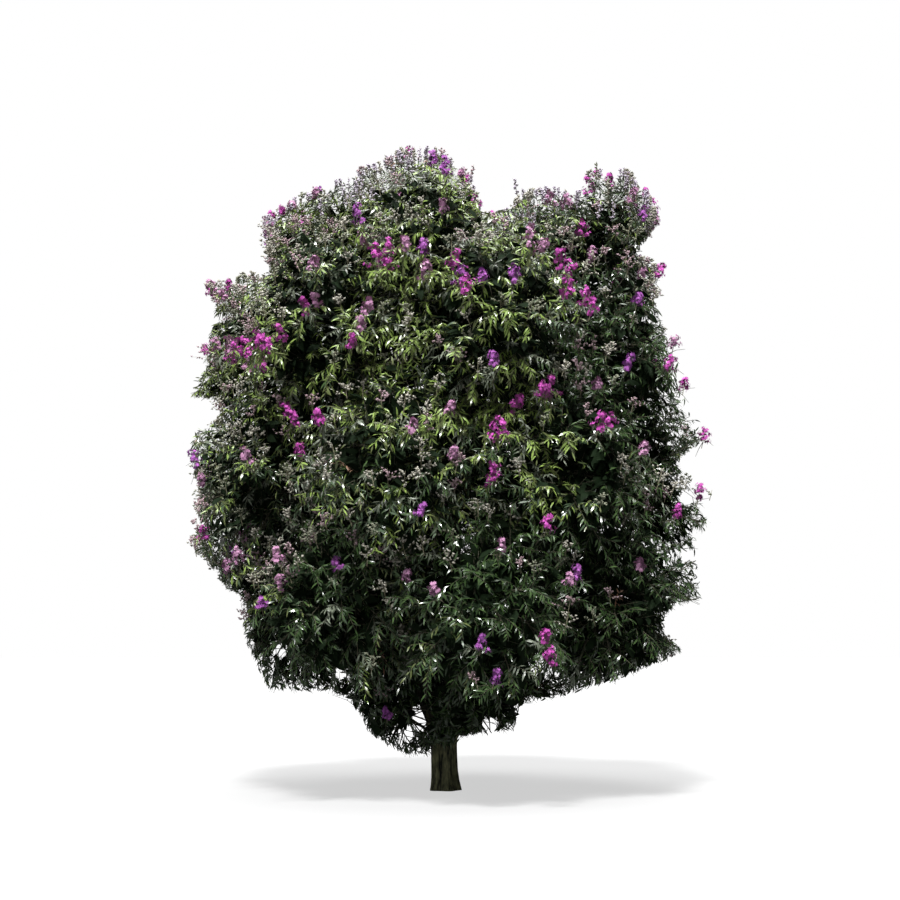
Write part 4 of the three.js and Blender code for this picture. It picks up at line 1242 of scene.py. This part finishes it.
def choosePanicles():
    choice = panicleChoice
    standsOut = (sprayOut > choice["leastOut"]) & (sprayEnds[:, 2] > choice["lowest"])
    outer = np.where(standsOut & (sprayAims[:, 2] > choice["leastLift"]))[0]
    upper = np.clip((sprayEnds[outer, 2] - choice["upperFrom"]) / choice["upperSpan"], 0, 1)
    weights = choice["base"] + choice["upper"] * upper
    nearFace = tipDepths[outer] < choice["thickDepth"]
    for x, y, _, _ in frontBlossoms:  # no buds in front of a full blossom
        near = pixelsApart(tipPixels[outer], x, y + choice["clearBelow"]) < choice["clear"]
        outer, weights, nearFace = [part[~(near & nearFace)] for part in (outer, weights, nearFace)]
    for x, y, patch in budPlaces:
        weights[(pixelsApart(tipPixels[outer], x, y) < patch) & nearFace] += choice["thick"]
    for x, y, patch in budFree:
        weights[pixelsApart(tipPixels[outer], x, y) < patch] = choice["thin"]
    return outer[np.argsort(dice.random(len(outer)) ** (1 / weights))[::-1]]


def pickTone(chances):
    return int(dice.choice(len(chances), p=chances))


outer = choosePanicles()
behind = [i for i in outer if sprayEnds[i, 1] > panicleChoice["frontY"]]
for number in behind[: panicleCount["wild"]]:
    addPanicle(number, panicleChoice["wildHeight"], pickTone(panicleChoice["wildTones"]), True, "blossom")
before = [i for i in outer if sprayEnds[i, 1] <= panicleChoice["frontY"]]
for number in before[: panicleCount["pale"]]:
    addPanicle(number, panicleChoice["paleHeight"], pale, True, "blossom")
fringe = [i for i in outer if sprayEnds[i, 2] > panicleChoice["fringeHeight"] and not taken[i]]
for number in fringe[: panicleCount["fringe"]]:  # the grey-lilac fringe of buds along the top
    budName = "lilacBud" if dice.random() < panicleChoice["lilacShare"] else "tanBud"
    addPanicle(number, panicleChoice["fringeTall"], budNames.index(budName), False, "fringe")
for number in [i for i in outer if not taken[i]][: panicleCount["buds"]]:
    addPanicle(number, panicleChoice["budHeight"], pickTone(panicleChoice["budTones"]), False, "bud")
for tip, aim in topTips:
    aim = blend(up, 1, aim, panicleMake["lean"])
    tone = int(dice.integers(len(budNames)))
    panicles.append((tip, aim, panicleChoice["tipHeight"], tone, False, panicleSpread["fringe"]))

stalkPaths, sidePaths = [], []
flowerParts, budParts = [], []
for root, aim, height, tone, blooming, spread in panicles:
    head = flowerHead if blooming else budHead
    first = unit(np.cross(aim, panicleMake["across"]))
    second = np.cross(aim, first)
    stalkPaths.append(np.linspace(root - aim * panicleMake["footing"], root + aim * height, 2))
    share = (np.arange(head["branches"]) + 0.5) / head["branches"]
    turn = np.arange(head["branches"]) * goldenAngle + 2 * math.pi * dice.random()
    turn += panicleMake["turnPlay"] * dice.normal(size=len(turn))
    out = first * np.cos(turn)[:, None] + second * np.sin(turn)[:, None]
    bases = root + aim * (height * (panicleMake["lowestBranch"] + panicleMake["branchSpan"] * share))[:, None]
    narrowing = np.sqrt(panicleMake["topShare"] - share)
    lengths = spread * height * narrowing * dice.uniform(*panicleMake["spreadPlay"], len(share))
    lifts = dice.uniform(*panicleMake["branchLift"], len(share))[:, None]
    ends = bases + unit(out + lifts * aim) * lengths[:, None]
    inside = ~pastBox(ends)
    out, bases, ends = out[inside], bases[inside], ends[inside]
    sidePaths.append(np.stack((bases, ends), 1))
    along = np.tile(np.linspace(head["start"], 1, head["each"]), len(out))
    out, bases, ends = [np.repeat(part, head["each"], axis=0) for part in (out, bases, ends)]
    jitter = dice.normal(size=out.shape)
    facing = unit(out + panicleMake["faceLift"] * aim + panicleMake["facePlay"] * jitter)
    places = bases + (ends - bases) * along[:, None] + unit(jitter) * head["play"]
    sizes = dice.uniform(*head["size"], len(places))
    (flowerParts if blooming else budParts).append((places, facing, sizes, np.full(len(places), tone)))


def panicleMesh(name, parts, pattern, looks):
    roots, face, sizes, tones = [np.concatenate(part) for part in zip(*parts)]
    along = unit(np.cross(face, unit(dice.normal(size=face.shape))))
    points, faces = stamp(pattern, roots, along, face, sizes)
    seat(meshPiece(name, points, faces, np.repeat(tones, len(pattern[1])), looks), "blossom")


panicleMesh("blossomPetals", flowerParts, flowerPattern, blossomLooks)
panicleMesh("budClusters", budParts, budPattern, budLooks)


# Twigs: branchlets, spray stalks and panicle stalks

sprayStalks = np.stack([onSprays(share)[0] for share in (0.0, 0.5, 1.0)], 1)[outerSpray]
shadeStalks = np.stack((sprayRoots, sprayEnds), 1)[~outerSpray]
stalkPaths, sidePaths = np.array(stalkPaths), np.concatenate(sidePaths)


def tapered(paths, radius):
    return tubes(paths, np.tile(np.linspace(*radius, paths.shape[1]), (len(paths), 1)))


def twigMesh(name, look, twigSets):
    points = np.concatenate([twigs[0] for twigs in twigSets])
    starts = np.cumsum([0] + [len(twigs[0]) for twigs in twigSets[:-1]])
    faces = np.concatenate([twigs[1] + start for twigs, start in zip(twigSets, starts)])
    seat(meshPiece(name, points, faces, np.zeros(len(faces), int), [look]), "bark")


branchlets = tubes(np.array(branchletPaths), np.array(branchletRadii), capped=True)
twigMesh("twigs", barkLooks["twigBark"], [branchlets, tapered(sprayStalks, sprayMake["radius"]),
                                          tapered(shadeStalks, sprayMake["radius"])])
twigMesh("panicleStalks", barkLooks["panicleStalk"], [tapered(stalkPaths, panicleMake["stalkRadius"]),
                                                      tapered(sidePaths, panicleMake["sideRadius"])])

print("tree: finished")
